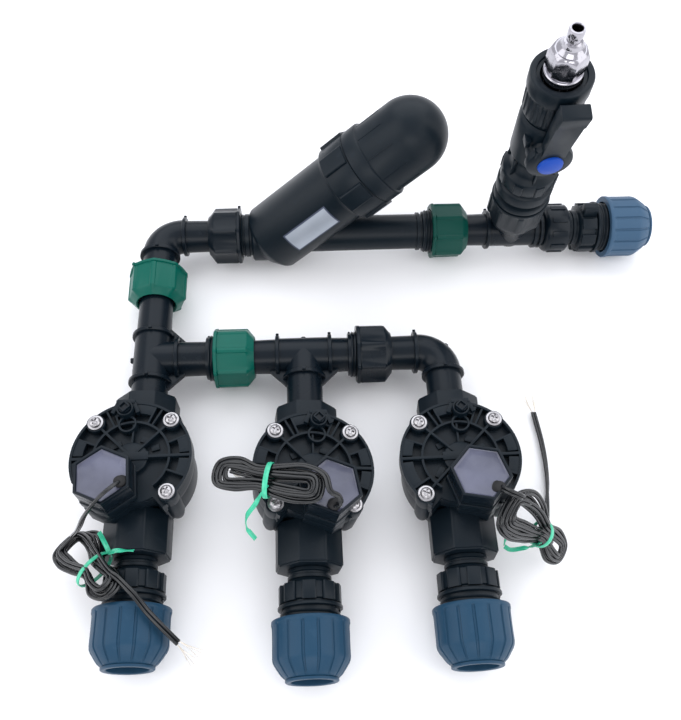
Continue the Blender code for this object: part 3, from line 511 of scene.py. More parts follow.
# %% Places
AXIS_HEIGHT = 27.0
VALVE_ROW, SUPPLY_ROW = 222.0, 346.0
COLUMNS = (-121.8, 0.0, 110.9)
MIDDLES = (122.0, 109.5, 114.2)
LEANS = (-1.4, 7.8, -2.4)
POTS = ((-14.0, -19.5, 95.0), (10.0, -19.5, 100.0), (10.0, -19.5, 108.0))
BLEEDS = ((-6.0, 36.0), (4.0, 36.0), (4.0, 36.0))


def placed(origin, z_axis, hint=(0, 1, 0), spin=0.0):
    """A matrix whose +Z is z_axis, turned by spin degrees about it."""
    z = Vector(z_axis).normalized()
    x = Vector(hint).cross(z).normalized()
    turn = Matrix((x, z.cross(x), z)).transposed().to_4x4()
    return Matrix.Translation(origin) @ turn @ Matrix.Rotation(math.radians(spin), 4, "Z")


def along_x(x, row):
    return placed((x, row, AXIS_HEIGHT), (1, 0, 0), (0, 0, 1))


def along_y(column, y, sign=1):
    return placed((column, y, AXIS_HEIGHT), (0, sign, 0), (0, 0, 1))


VALVE_AT = [Matrix.Translation((x, y, AXIS_HEIGHT)) @ Matrix.Rotation(math.radians(lean), 4, "Y")
            for x, y, lean in zip(COLUMNS, MIDDLES, LEANS)]
POST_AT = placed((185.7, SUPPLY_ROW, AXIS_HEIGHT), (-0.038, -0.134, 0.990), (0, 1, 0), 3.0)
FILTER_AT = placed((-21.8, SUPPLY_ROW, AXIS_HEIGHT), (0.752, 0.145, 0.643), (0, 0, 1))
print("valves at", COLUMNS, "leaning", LEANS)

# %% [markdown]
# ## The twin leads
# Each coil has a lead of two thin PVC wires, side by side: 2.4 mm each, 4.8 mm for the pair, and 0.6 to 1.0 m
# long. It comes up out of the resin, is folded into a flat hank held by a green twist tie, and its free end
# is stripped. The route is one smooth curve: a few points out of the coil, then the hank's turns, each one
# a stadium a little smaller or higher than the last, and then the tail. The hank narrows at the tie, where
# the pair also stands on edge, as wires do when they are squeezed.

# %% Smooth routes
WIRE_R = 1.2
STEP = 2.0


def smooth(points, step=STEP):
    """Points about a step apart on a Catmull-Rom curve through the given ones."""
    ends = [points[0] * 2 - points[1], *points, points[-1] * 2 - points[-2]]
    made = [points[0]]
    for before, a, b, after in zip(ends, ends[1:], ends[2:], ends[3:]):
        count = max(1, round((b - a).length / step))
        for k in range(1, count + 1):
            t = k / count
            made.append(0.5 * (2 * a + (b - before) * t + (2 * before - 5 * a + 4 * b - after) * t**2
                               + (3 * a - before - 3 * b + after) * t**3))
    return made


def stadium(share, half_long, half_wide):
    """A point on a stadium, share of the way round from the middle of its first end."""
    straight = half_long - half_wide
    arc = math.pi * half_wide / 2
    total = 4 * (straight + arc)
    at = (share % 1.0) * total
    for sign, first in ((1, 0.0), (-1, total / 2)):
        here = at - first
        if here < 0 or here > total / 2:
            continue
        if here < arc:
            turn = here / half_wide
            return sign * (straight + half_wide * math.cos(turn)), sign * half_wide * math.sin(turn)
        if here < arc + 2 * straight:
            return sign * (straight - (here - arc)), sign * half_wide
        turn = (here - arc - 2 * straight) / half_wide
        return sign * (-straight - half_wide * math.sin(turn)), sign * half_wide * math.cos(turn)
    return half_long, 0.0


def hank(start, end, face, turns, first, sense, lanes, tie_at, squeezed=0.38, fan=0.0, bow=0.0):
    """The points of a hank between two ends. It narrows at the tie, fans out towards its start and bows."""
    start, end = Vector(start), Vector(end)
    middle, half_long = (start + end) / 2, (start - end).length / 2
    long_way = (start - end).normalized()
    up = (Vector(face) - long_way * long_way.dot(Vector(face))).normalized()
    across = up.cross(long_way) * sense
    points = []
    count = round(turns * 36)
    for k in range(count + 1):
        done = k / 36
        here = min(int(done), len(lanes) - 1)
        share = done - int(done)
        after = min(here + 1, len(lanes) - 1)
        wide, high, short = (a + (b - a) * share for a, b in zip(lanes[here], lanes[after]))
        s, w = stadium(first + done, half_long - short, wide)
        squeeze = math.exp(-((s - tie_at) / 13.0) ** 2)
        w = w * (1.0 - squeezed * squeeze) * (1.0 + fan * s / half_long) + 0.7 * math.sin(done * 4.1 + s * 0.05)
        w += bow * sense * (1.0 - (s / half_long) ** 2)
        rise = high * (1.0 + 0.35 * squeeze) + 0.5 * math.sin(done * 9.0 + 1.0)
        points.append(middle + long_way * s + across * w + up * rise)
    return points, up


# %% A twin wire as a mesh
def twin_wire(solid, points, up, spread, sides=10):
    """Two round wires side by side. spread(share) gives half the space between their middles."""
    count = len(points)
    last = None
    lines = ([], [])
    for k, point in enumerate(points):
        along = (points[min(k + 1, count - 1)] - points[max(k - 1, 0)]).normalized()
        across = up.cross(along)
        pull = 0.10 * across.length_squared
        across = across.normalized()
        last = last or across
        last = last.lerp(across if across.dot(last) > 0 else -across, pull)
        last = (last - along * last.dot(along)).normalized()
        side = last
        tilt = 0.55 * math.sin(k * STEP / 31.0)
        leaned = side * math.cos(tilt) + along.cross(side) * math.sin(tilt)
        offset = spread(k / (count - 1))
        for line, sign in zip(lines, (1, -1)):
            line.append(point + leaned * sign * offset)
    for line in lines:
        solid.tube(line, WIRE_R, sides)
    return lines


def length_of(points):
    return sum((b - a).length for a, b in zip(points, points[1:]))


# %% The three routes
LEAD_OUT_1 = ((-124.5, 97.0, 84.5), (-125.5, 94.5, 88.0), (-128.5, 90.8, 90.3), (-133.0, 86.6, 90.5),
              (-138.3, 82.6, 87.5), (-144.1, 79.4, 80.5), (-150.0, 77.5, 70.0), (-155.0, 76.5, 58.0),
              (-160.5, 77.0, 45.0), (-167.0, 78.5, 31.5))
TAIL_1 = ((-135.0, 47.5, 56.0), (-124.5, 38.0, 59.3),
          (-114.0, 27.5, 59.5), (-106.5, 18.5, 55.8), (-99.0, 11.0, 49.8), (-92.5, 5.0, 42.8),
          (-88.0, 1.0, 36.8))
LEAD_OUT_2 = ((18.5, 76.0, 84.5), (20.0, 73.5, 89.0), (22.5, 73.0, 93.5), (21.0, 76.5, 97.5),
              (15.5, 79.5, 99.8))
LEAD_OUT_3 = ((129.5, 83.5, 84.5), (131.0, 80.5, 88.5), (135.0, 77.0, 90.8), (140.5, 75.0, 89.5),
              (143.5, 75.0, 85.5))
TAIL_3 = ((166.0, 66.5, 27.0), (171.0, 71.0, 17.0), (177.0, 81.0, 8.5), (182.5, 96.0, 4.4),
          (186.5, 114.0, 3.4), (188.0, 132.0, 3.2), (187.8, 150.0, 3.2), (186.6, 165.0, 3.2),
          (185.6, 176.0, 3.2))
WIRES_PART = 3.9  # half the widest space between the two wires of tail 3


def vectors(points):
    return [Vector(p) for p in points]


turns_1, up_1 = hank((-174, 79, 18), (-129, 29, 60), (-0.35, 0.40, 0.80), 4.14, 0.0, -1,
                     ((15.0, -2.8, 0.0), (12.0, 1.6, 1.0), (9.0, -1.6, 2.5), (6.0, 2.8, 4.5),
                      (9.5, 4.6, 6.0)), -8.0,
                     0.52, 0.22)
turns_2, up_2 = hank((-63, 104, 79), (13, 81.5, 97.5), (0, 0, 1), 3.45, 0.52, 1,
                     ((13.2, 2.2, 0.0), (9.8, -0.8, 2.6), (6.6, 2.4, 5.4), (3.6, -1.0, 9.0)), 6.0)
turns_3, up_3 = hank((134, 72, 80), (184.5, 54, 14), (0.52, -0.50, 0.52), 4.47, -0.06, 1,
                     ((16.0, -2.4, 0.0), (13.0, 1.4, 1.0), (10.2, -1.2, 2.5), (7.4, 2.4, 4.5),
                      (4.6, 0.4, 7.0)), -8.0,
                     0.56, 0.30, -4.0)
ROUTES = (
    smooth(vectors(LEAD_OUT_1) + turns_1[1::3] + vectors(TAIL_1)),
    smooth(vectors(LEAD_OUT_2) + turns_2[1::3]),
    smooth(vectors(LEAD_OUT_3) + turns_3[1::3] + vectors(TAIL_3)),
)
for number, route in enumerate(ROUTES, 1):
    print(f"lead {number}: {length_of(route):.0f} mm, {len(route)} rings")
# %% [markdown]
# The pair is one mesh, and its length is printed. The small pieces that go with it are the tie, the rubber
# boot at the coil, and the bare strands at the free end.

# %% Ties, boots and bare strands
def ribbon(solid, points, width, thick, face):
    """A flat strip along points; face(k) is the way its flat side looks."""
    rings = []
    for k, point in enumerate(points):
        along = (points[min(k + 1, len(points) - 1)] - points[max(k - 1, 0)]).normalized()
        out = face(k)
        out = (out - along * out.dot(along)).normalized()
        side = along.cross(out)
        rings.append([solid.mesh.verts.new(point + side * x * width / 2 + out * y * thick / 2)
                      for x, y in ((-1, -1), (0, -1.0), (1, -1), (1, 1), (0.35, 1.2), (0, 2.2), (-0.35, 1.2),
                                   (-1, 1))])
    for one, two in zip(rings, rings[1:]):
        for i in range(len(one)):
            j = (i + 1) % len(one)
            solid.mesh.faces.new((one[i], one[j], two[j], two[i]))
    solid.mesh.faces.new(rings[0][::-1])
    solid.mesh.faces.new(rings[-1])
    solid.close([v for ring in rings for v in ring], Matrix(), 0.0)


def twist_tie(name, middle, along, up, wide, high, tails):
    """A strip round a bundle, twisted once on its upper side, with two free tails."""
    solid = Solid()
    along = Vector(along).normalized()
    up = (Vector(up) - along * along.dot(Vector(up))).normalized()
    across = along.cross(up)
    middle = Vector(middle)
    loop = []
    for k in range(29):
        turn = math.pi / 2 + math.tau * k / 28
        slant = along * (1.6 * math.cos(turn * 1.0))
        loop.append(middle + across * wide / 2 * math.cos(turn) + up * high / 2 * math.sin(turn) + slant)
    ribbon(solid, loop, 3.4, 0.5, lambda k: loop[k] - middle)
    for tail in tails:
        route = smooth(vectors(tail), 1.5)
        ribbon(solid, route, 3.2, 0.5, lambda k: up * 0.8 + along * math.sin(k * 0.35) * 0.7)
    return solid.finish(name, FIXED, None, "tie_green")


def boot(name, at, lean):
    """A small rubber boot, half sunk in the resin, that the lead comes out of."""
    solid = Solid()
    here = placed(at, lean)
    solid.turned([(0, 3.4), (2.2, 3.2), (3.4, 2.2), (4.0, 0.6), (4.2, -1.0), (4.6, -2.6), (0, -2.6)], here,
                 32)
    return solid.finish(name, FIXED, "rubber", "rubber_black")


def bare_strands(name, ends, directions):
    """Tinned strands fanning out of the end of each wire."""
    solid = Solid()
    for number, (end, direction) in enumerate(zip(ends, directions)):
        direction = Vector(direction)
        for k in range(5):
            bend = Vector((math.sin(k * 2.4 + number), math.cos(k * 2.4 + number), 0.25 * math.sin(k))) * 0.22
            route = [end - direction * 2.0, end + direction * 6.0 + bend * 2.0,
                     end + direction * 12.0 + bend * 7.0, end + direction * 17.0 + bend * 13.0]
            solid.tube(smooth(route, 2.0), 0.16, 5)
    return solid.finish(name, FIXED, None, "tinned_copper")


def lead(number, route, up, spread, exit_lean, with_tails, far_directions, nodes, tie_place):
    solid = Solid()
    lines = twin_wire(solid, route, up, spread)
    piece = solid.finish(f"twin_lead_{number}", FIXED, "wire_sheath", "wire_sheath", *nodes)
    extras = [twist_tie(f"twist_tie_{number}", *tie_place, with_tails),
              boot(f"lead_boot_{number}", route[0], exit_lean),
              bare_strands(f"bare_strands_{number}", [line[-1] for line in lines], far_directions)]
    path = [point * MM for point in route]
    metres = length_of(path)
    print(f"{piece.name}: {metres:.3f} m")
    return lines


def touching(share):
    return WIRE_R


def parting(share):
    """Side by side until the tail, then apart and together again."""
    along = max(0.0, (share - 0.85) / 0.15)
    return WIRE_R + (WIRES_PART - WIRE_R) * max(0.0, math.sin(math.pi * min(1.0, along * 1.7)))


lead(1, ROUTES[0], up_1, touching, (-0.3, -0.3, 1.0),
     (((-136.5, 60.5, 45.0), (-139.0, 65.5, 46.5), (-142.0, 70.5, 45.5), (-145.5, 76.0, 43.5)),
      ((-136.5, 60.5, 45.0), (-131.0, 60.0, 51.5), (-125.0, 58.8, 55.0), (-117.5, 58.5, 55.8))),
     ((0.55, -0.6, -0.3), (0.75, -0.4, -0.4)), ("lead_1", "lead_hank_1", "lead_tail_1"),
     ((-146.3, 50.5, 42.5), (0.59, -0.637, 0.50), (-0.35, 0.40, 0.80), 28.0, 15.0))
lead(2, ROUTES[1], up_2, touching, (0.2, -0.2, 1.0),
     (((-25.5, 88.0, 93.0), (-28.9, 84.0, 90.0), (-34.0, 78.5, 83.0), (-40.5, 73.0, 74.0),
       (-40.5, 67.5, 66.0),
       (-35.4, 61.8, 60.0)),),
     ((0.6, -0.1, -0.5), (0.5, -0.2, -0.6)), ("lead_2", "lead_hank_2"),
     ((-25.0, 92.7, 88.2), (-0.94, 0.28, -0.22), (0.1, 0, 1), 25.0, 13.5))
lead(3, ROUTES[2], up_3, parting, (0.5, -0.3, 1.0),
     (((163.0, 57.0, 40.0), (158.0, 60.0, 35.0), (151.0, 64.0, 31.0), (143.0, 65.5, 28.0),
       (140.5, 61.0, 25.0)),
      ((163.0, 57.0, 40.0), (159.0, 58.0, 31.0), (153.0, 58.5, 24.0), (146.0, 59.0, 20.0),
       (141.5, 61.0, 22.0))),
     ((-0.35, 0.93, 0.05), (0.05, 0.98, 0.1)), ("lead_hank_3", "lead_tail_3"),
     ((164.5, 63.6, 41.0), (0.594, -0.212, -0.776), (0.52, -0.50, 0.52), 19.0, 17.0))
# %% [markdown]
# ## Valve bodies
# Under each bonnet is a bowl with two octagonal ports. On the real moulding the bowl tapers down, the ports
# blend into it with ribs, and a flat-sided pillar runs up under the coil. It is built as separate closed
# shapes that run into one another, because that is also how the mould-maker cuts it.

# %% Valve bodies
BONNET_R, BONNET_TOP, VALVE_HALF = 43.0, 40.0, 62.0
SCREW_AT = 38.2
PILLAR_FLATS = 38.4


def polygon(flats, sides, first=0.0, at=(0.0, 0.0)):
    """The corners of a regular polygon that measures flats across."""
    corner = flats / 2 / math.cos(math.pi / sides)
    return [(at[0] + corner * math.cos(math.radians(first) + math.tau * k / sides),
             at[1] + corner * math.sin(math.radians(first) + math.tau * k / sides)) for k in range(sides)]


def reach_of(outline, angle):
    """How far a line from the origin goes at an angle before it leaves a convex outline."""
    best = 1e9
    for (ax, ay), (bx, by) in zip(outline, outline[1:] + outline[:1]):
        normal = Vector((by - ay, ax - bx)).normalized()
        far = normal.dot(Vector((ax, ay)))
        facing = normal.dot(Vector((math.cos(angle), math.sin(angle))))
        if facing > 1e-6:
            best = min(best, far / facing)
    return best


COVERED_R = 32.0  # everything under the bonnet stays inside this


def notched(radius, pillar, window, inset):
    """A round outline that draws back to the pillar's faces inside a window of degrees."""
    outline = []
    for k in range(120):
        degrees = k * 3.0
        angle = math.radians(degrees)
        far = radius
        if window[0] < degrees < window[1]:
            far = min(radius, max(reach_of(pillar, angle) - inset, COVERED_R + 1.2 - inset))
        outline.append((far * math.cos(angle), far * math.sin(angle)))
    return outline


WINDOWS = ((205.0, 303.0), (236.0, 304.0), (238.0, 304.0))


def valve_body(number, at, pot):
    solid = Solid()
    pillar = polygon(PILLAR_FLATS, 6, pot[2], pot[:2])
    window = WINDOWS[number - 1]
    solid.prism(notched(41.6, pillar, window, 0.6), 20.5, 28.0, at, 0.5)
    solid.prism(notched(40.2, pillar, window, 1.2), -3.0, 21.0, at, 0.5)
    solid.turned([(0, -2.0), (39.0, -2.0), (36.5, -8.0), (30.5, -14.5), (22.0, -20.0), (0, -21.0)], at, 72)
    solid.prism(pillar, 6.0, 28.0, at, 0.6)
    for corner in range(4):
        turn = math.radians(45 + 90 * corner)
        post = at @ Matrix.Translation((SCREW_AT * math.cos(turn), SCREW_AT * math.sin(turn), 0))
        solid.turned([(0, 28.0), (6.6, 28.0), (6.3, 4.0), (4.6, -4.0), (0, -4.0)], post, 28, 0.4)
    for side in (1, -1):
        port = at @ placed((0, 0, 0), (0, side, 0), (0, 0, 1))
        octagon = polygon(46.0, 8, 22.5)
        solid.prism(octagon, 30.0, 60.6, port, 0.9)
        solid.prism(polygon(44.0, 8, 22.5), 60.0, VALVE_HALF - 0.2, port, 0.5)
        for flat in (0, 1, 2, 3, 4):
            lean = Matrix.Rotation(math.radians(45 * flat - 90), 4, "Z")
            solid.block((1.5, 15.0, 27.0), (22.3, 0, 46.0), port @ lean, 0.4)
        for edge in (-1, 1):
            solid.prism([(edge * 12.0, 14.0), (edge * 26.0, 14.0), (edge * 14.0, 47.0),
                         (edge * 12.0, 47.0)][::edge],
                        -3.0, 3.0, at @ Matrix.Rotation(0 if side > 0 else math.pi, 4, "Z"), 0.5)
        solid.block((3.0, 30.0, 13.0), (0, side * 34.0, -14.0), at, 0.6)
    return solid.finish(f"valve_body_look_{number}", FIXED, "black_plastic", "moulded_black", f"valve_body_{number}")


for number, (at, pot) in enumerate(zip(VALVE_AT, POTS), 1):
    made = valve_body(number, at, pot)
    print(made.name, len(made.data.polygons), "faces")

# %% [markdown]
# ## Bonnets
# The bonnet's upper side is open ribwork: a rim, an inner ring, dividers between them with solid pads to the
# left and right, ribs running to the four screws, a cross rib with a thick middle, and at the inlet side a
# boss for the bleed screw with a small round well beside it. Moulders leave such pockets so that no wall is
# thick, which keeps the plastic from sinking as it cools.

# %% Bonnets
FLOOR_UP = 34.2
ROOF_UP = 33.0  # the underside of the bonnet over the diaphragm
WELL_R, WELL_TOP = 10.6, 38.2  # the well for the diaphragm's spring


def sector(inner, outer, first, last, steps=8):
    """The outline of a piece of a ring between two angles in degrees."""
    angles = [math.radians(first + (last - first) * k / steps) for k in range(steps + 1)]
    return ([(outer * math.cos(a), outer * math.sin(a)) for a in angles]
            + [(inner * math.cos(a), inner * math.sin(a)) for a in reversed(angles)])


def wall(solid, at, inner, outer, degrees, thick, top, foot=FLOOR_UP - 1.0):
    """A straight rib from the inner to the outer radius."""
    solid.block((outer - inner, thick, top - foot), ((inner + outer) / 2, 0, (top + foot) / 2),
                at @ Matrix.Rotation(math.radians(degrees), 4, "Z"), 0.25)


def covered(x, y, pillar):
    return all((bx - ax) * (y - ay) - (by - ay) * (x - ax) > 0
               for (ax, ay), (bx, by) in zip(pillar, pillar[1:] + pillar[:1]))


def ring_halves(outline, inner):
    """Two outlines that make a ring: the given one outside, a circle inside."""
    half = len(outline) // 2
    for first in (0, half):
        outer = [outline[(first + k) % len(outline)] for k in range(half + 1 if first == 0 else len(outline) - half + 1)]
        yield outer + [tuple(Vector(p).normalized() * inner) for p in reversed(outer)]


def bonnet(number, at, pot, bleed):
    solid = Solid()
    pillar = polygon(PILLAR_FLATS, 6, pot[2], pot[:2])
    window = WINDOWS[number - 1]
    for half in ring_halves(notched(BONNET_R, pillar, window, 0.1), COVERED_R):
        solid.prism(half, 28.3, ROOF_UP + 0.2, at)
    for half in ring_halves(notched(BONNET_R, pillar, window, 0.8), WELL_R):
        solid.prism(half, ROOF_UP, FLOOR_UP, at)
    solid.prism(pillar, ROOF_UP, BONNET_TOP + 0.2, at, 0.5)
    clear = [d for d in range(0, 360, 4) if not window[0] - 4 < d < window[1] + 2]
    for first in clear:
        solid.prism(sector(41.2, 42.95, first, first + 4.06, 1), FLOOR_UP - 0.6, BONNET_TOP, at)
        middle = math.radians(first + 2)
        if not covered(27.0 * math.cos(middle), 27.0 * math.sin(middle), pillar):
            solid.prism(sector(26.2, 27.8, first, first + 4.06, 1), FLOOR_UP - 0.6, BONNET_TOP - 0.3, at)
    for first, last in ((3.5, 21), (159, 176.5), (184, 212), (338, 356.5), (68, 112)):
        mid = math.radians((first + last) / 2)
        if not covered(37 * math.cos(mid), 37 * math.sin(mid), pillar):
            solid.prism(sector(34.0, 41.6, first, last), FLOOR_UP - 0.6, BONNET_TOP - 0.5, at, 0.3)
    for degrees in (21.5, 61, 68, 112, 119, 158.5, 212.5, 338):
        if not covered(34 * math.cos(math.radians(degrees)), 34 * math.sin(math.radians(degrees)), pillar):
            wall(solid, at, 27.0, 41.5, degrees, 1.5, BONNET_TOP - 0.4)
    for degrees in (45, 135, 225):
        wall(solid, at, 3.0, WELL_R + 0.8, degrees, 1.7, BONNET_TOP - 0.2, WELL_TOP + 0.2)
        wall(solid, at, WELL_R + 0.4, 33.0, degrees, 1.7, BONNET_TOP - 0.2)
    for degrees in (0, 180):
        wall(solid, at, 8.0, WELL_R + 0.8, degrees, 2.1, BONNET_TOP + 0.1, WELL_TOP + 0.2)
        wall(solid, at, WELL_R + 0.4, 42.6, degrees, 2.1, BONNET_TOP + 0.1)
    wall(solid, at, WELL_R + 0.4, 27.0, 90, 1.5, BONNET_TOP - 1.4)
    solid.turned([(0, 38.8), (10.6, 38.8), (11.6, 38.0), (12.2, ROOF_UP), (WELL_R, ROOF_UP),
                  (WELL_R, WELL_TOP),
                  (0, WELL_TOP)], at, 48)
    solid.block((25.0, 6.2, 1.8), (0, 0.6, 39.3), at, 0.6)
    for x, y, long, turn in ((-12, 11, 8, 25), (9, 14, 8, -20), (-15, -10, 9, 60), (16, 8, 6, 15)):
        solid.block((long, 4.6, 2.2), (x, y, FLOOR_UP + 0.6), at, 0.7, turn)
    for corner in range(4):
        turn = math.radians(45 + 90 * corner)
        x, y = SCREW_AT * math.cos(turn), SCREW_AT * math.sin(turn)
        here = at @ Matrix.Translation((x, y, 0))
        solid.turned([(0, 40.1), (6.6, 40.1), (6.9, 38.0), (6.9, 28.3), (0, 28.3)], here, 32, 0.35)
    for x, y, outer, hollow, top in ((*bleed, 6.0, 4.7, 45.0), (bleed[0] * 0.7, 25.5, 6.6, 5.2, 40.6)):
        here = at @ Matrix.Translation((x, y, 0))
        solid.turned([(hollow, FLOOR_UP), (hollow, top), (outer, top), (outer + 0.5, FLOOR_UP)], here, 36,
                     0.25)
    for side in (-1, 1):
        solid.block((3.0, 9.0, 6.0), (bleed[0] + side * 7.4, 37.5, 39.4), at, 0.5, side * 24)
    solid.block((13.0, 3.2, 7.6), (bleed[0], 42.2, 39.2), at, 0.5)
    return solid.finish(f"bonnet_look_{number}", FIXED, "black_plastic", "moulded_black", f"bonnet_{number}")


for number, (at, pot, bleed) in enumerate(zip(VALVE_AT, POTS, BLEEDS), 1):
    made = bonnet(number, at, pot, bleed)
    print(made.name, len(made.data.polygons), "faces")

# %% [markdown]
# ## Bonnet screws
# Flanged pan-head screws with a cross recess. One head is made carefully and Geometry Nodes set the others on
# the same circle. Two bonnets show three screws, because the coil's cup hides the fourth.

# %% Bonnet screws
def screw_head():
    head = Solid()
    head.turned([(0, 3.9), (1.9, 3.8), (3.2, 3.3), (4.1, 2.4), (4.3, 1.3), (5.6, 1.1), (5.8, 0.6), (5.7, 0.0),
                 (0, 0)],
                Matrix(), 28)
    arms = Solid()
    cross = [(2.5, -0.65), (2.5, 0.65), (0.65, 0.65), (0.65, 2.5), (-0.65, 2.5), (-0.65, 0.65),
             (-2.5, 0.65), (-2.5, -0.65), (-0.65, -0.65), (-0.65, -2.5), (0.65, -2.5), (0.65, -0.65)]
    arms.prism(cross, 2.0, 5.0, Matrix.Rotation(math.radians(20), 4, "Z"))
    meshes = []
    for part in (head, arms):
        mesh = bpy.data.meshes.new("screw")
        part.mesh.to_mesh(mesh)
        part.mesh.free()
        meshes.append(bpy.data.objects.new("screw", mesh))
        bpy.context.scene.collection.objects.link(meshes[-1])
    recess = meshes[0].modifiers.new("recess", "BOOLEAN")
    recess.operation, recess.solver, recess.object = "DIFFERENCE", "EXACT", meshes[1]
    bpy.context.view_layer.update()
    cut = bpy.data.meshes.new_from_object(meshes[0].evaluated_get(bpy.context.evaluated_depsgraph_get()))
    for holder in meshes:
        bpy.data.objects.remove(holder)
    return Solid().add_mesh(cut)


for number, at in enumerate(VALVE_AT, 1):
    screws = Solid()
    left_out = {1: 2, 2: -1, 3: 3}[number]
    copies(screws, screw_head(), 4, SCREW_AT, "bright_steel",
           at @ Matrix.Translation((0, 0, BONNET_TOP + 0.1)) @ Matrix.Rotation(math.radians(45), 4, "Z"),
           left_out)
    made = screws.finish(f"bonnet_screws_{number}", FIXED, "steel", "bright_steel", smooth=35)
    print(made.name, len(made.data.polygons), "faces")

# %% [markdown]
# ## Coils
# The coil sits in a six-sided cup and is sealed with casting resin. The cup's rim is a thin wall, and the
# resin inside has crept up the wall a little, so it is slightly dished.

# %% Coil cups, resin and bleed screws
CUP_FLATS, CUP_FOOT, CUP_TOP = 37.0, 40.3, 58.3
RESIN_FACE = 55.6


def coil(number, at, pot):
    here = at @ Matrix.Translation((pot[0], pot[1], 0))
    outer, inner = polygon(CUP_FLATS, 6, pot[2]), polygon(CUP_FLATS - 4.2, 6, pot[2])
    step = polygon(CUP_FLATS - 1.6, 6, pot[2])
    cup = Solid()
    cup.prism(outer, CUP_FOOT, 54.5, here, 0.4)
    rows = ((outer, 54.0), (outer, CUP_TOP - 0.2), (step, CUP_TOP),
            (polygon(CUP_FLATS - 3.4, 6, pot[2]), CUP_TOP - 0.1),
            (inner, CUP_TOP - 1.0), (inner, 54.0))
    rings = [[cup.mesh.verts.new((x, y, z)) for x, y in outline] for outline, z in rows]
    for one, two in zip(rings, rings[1:] + rings[:1]):
        for k in range(6):
            cup.mesh.faces.new((one[k], one[(k + 1) % 6], two[(k + 1) % 6], two[k]))
    cup.close([v for ring in rings for v in ring], here, 0.25)
    cup.finish(f"coil_cup_{number}", FIXED, "black_plastic", "moulded_black_fine", f"solenoid_{number}")
    filling = Solid()
    levels = []
    for share, drop in ((1.0, 0.0), (0.965, -0.55), (0.90, -0.85), (0.7, -1.0), (0.4, -1.05)):
        fine = []
        for k, (x, y) in enumerate(inner):
            nx, ny = inner[(k + 1) % 6]
            fine += [(x + (nx - x) * t / 6, y + (ny - y) * t / 6) for t in range(6)]
        levels.append([filling.mesh.verts.new((x * share, y * share, RESIN_FACE + 1.0 + drop
                                               + 0.25 * noise.noise(Vector((x * share, y * share,
                                                                            number * 9.0)) * 0.16)))
                       for x, y in fine])
    foot = [filling.mesh.verts.new((v.co.x, v.co.y, 54.2)) for v in levels[0]]
    top = filling.mesh.verts.new((0, 0, RESIN_FACE - 0.05))
    for one, two in zip([foot] + levels, levels):
        for k in range(36):
            filling.mesh.faces.new((one[k], one[(k + 1) % 36], two[(k + 1) % 36], two[k]))
    for k in range(36):
        filling.mesh.faces.new((levels[-1][k], levels[-1][(k + 1) % 36], top))
    filling.mesh.faces.new(foot[::-1])
    filling.close(list(filling.mesh.verts), here, 0.0)
    return filling.finish(f"coil_resin_{number}", FIXED, None, "casting_resin")


def bleed_screw(number, at, bleed):
    """A round head with a square, slotted top."""
    solid = Solid()
    here = at @ Matrix.Translation((*bleed, 0))
    solid.turned([(0, 46.4), (4.0, 46.4), (4.3, 45.8), (4.3, 43.4), (2.4, 43.0), (2.4, 36.0), (0, 36.0)],
                 here, 32)
    square = [(x * 4.6, y * 4.6) for x, y in ((1, 0), (0, 1), (-1, 0), (0, -1))]
    hollow = [(x * 3.1, y * 3.1) for x, y in ((1, 0), (0, 1), (-1, 0), (0, -1))]
    rings = [[solid.mesh.verts.new((x, y, z)) for x, y in outline]
             for outline, z in ((square, 45.2), (square, 48.2), (hollow, 48.2), (hollow, 46.6),
                                (hollow, 45.2))]
    for one, two in zip(rings, rings[1:] + rings[:1]):
        for k in range(4):
            solid.mesh.faces.new((one[k], one[(k + 1) % 4], two[(k + 1) % 4], two[k]))
    solid.close([v for ring in rings for v in ring], here, 0.2)
    return solid.finish(f"bleed_screw_look_{number}", f"bleed_screw_{number}", "black_plastic", "moulded_black_fine",
                        f"bleed_screw_{number}")


for number, (at, pot, bleed) in enumerate(zip(VALVE_AT, POTS, BLEEDS), 1):
    print(coil(number, at, pot).name, bleed_screw(number, at, bleed).name)
# %% [markdown]
# ## Compression ends
# A black adapter screws into each valve, and a blue nut squeezes a split ring on the 25 mm pipe. The nut is
# the most sculpted piece: sixteen broad ribs with thin grooves between, a flat rim at the thread, a cone with
# extra short ribs, and a plain lip. Its cross-section is one profile; the rib heights come from a list of
# angles, so every ring of the mesh follows the same grooves.

# %% Compression nuts
NUT_START, NUT_END, NUT_END_R = 34.5, 73.8, 18.0


def compression_nut(name, body, node, at, look):
    solid = Solid()
    groove = -0.9
    profile = [
        (14.2, NUT_END - 0.5), (14.9, NUT_END), (17.4, NUT_END), (NUT_END_R, NUT_END - 0.5),
        (NUT_END_R, NUT_END - 1.7), (17.3, NUT_END - 2.0), (18.3, NUT_END - 2.6, -0.2),
        (20.6, 69.2, groove), (22.9, 66.0, groove), (25.2, 62.6, groove), (26.1, 60.6, groove),
        (26.4, 58.6, groove),
        (26.35, 48.0, groove), (26.45, 40.0, groove), (26.6, 38.2, groove), (26.9, 37.4, -0.2), (27.0, 36.9),
        (27.0, 35.0), (26.6, NUT_START), (22.3, NUT_START), (21.8, 35.2), (21.6, 51.0), (13.9, 65.5),
    ]
    angles = teeth(16, 0.13, 0.05, across=1, between=4)
    solid.turned(profile, at, angles)
    short = Solid()
    short.prism([(0, -0.75), (0, 0.75), (1.5, 0.45), (1.5, -0.45)], -6.5, 5.0,
                placed((0, 0, 0), (0.52, 0, -0.85), (0, 1, 0)), 0.2)
    copies(solid, short, 16, 23.3, look, at @ Matrix.Translation((0, 0, 64.2)) @ Matrix.Rotation(math.pi / 16,
                                                                                                 4, "Z"))
    return solid.finish(name, body, "blue_plastic", look, node)


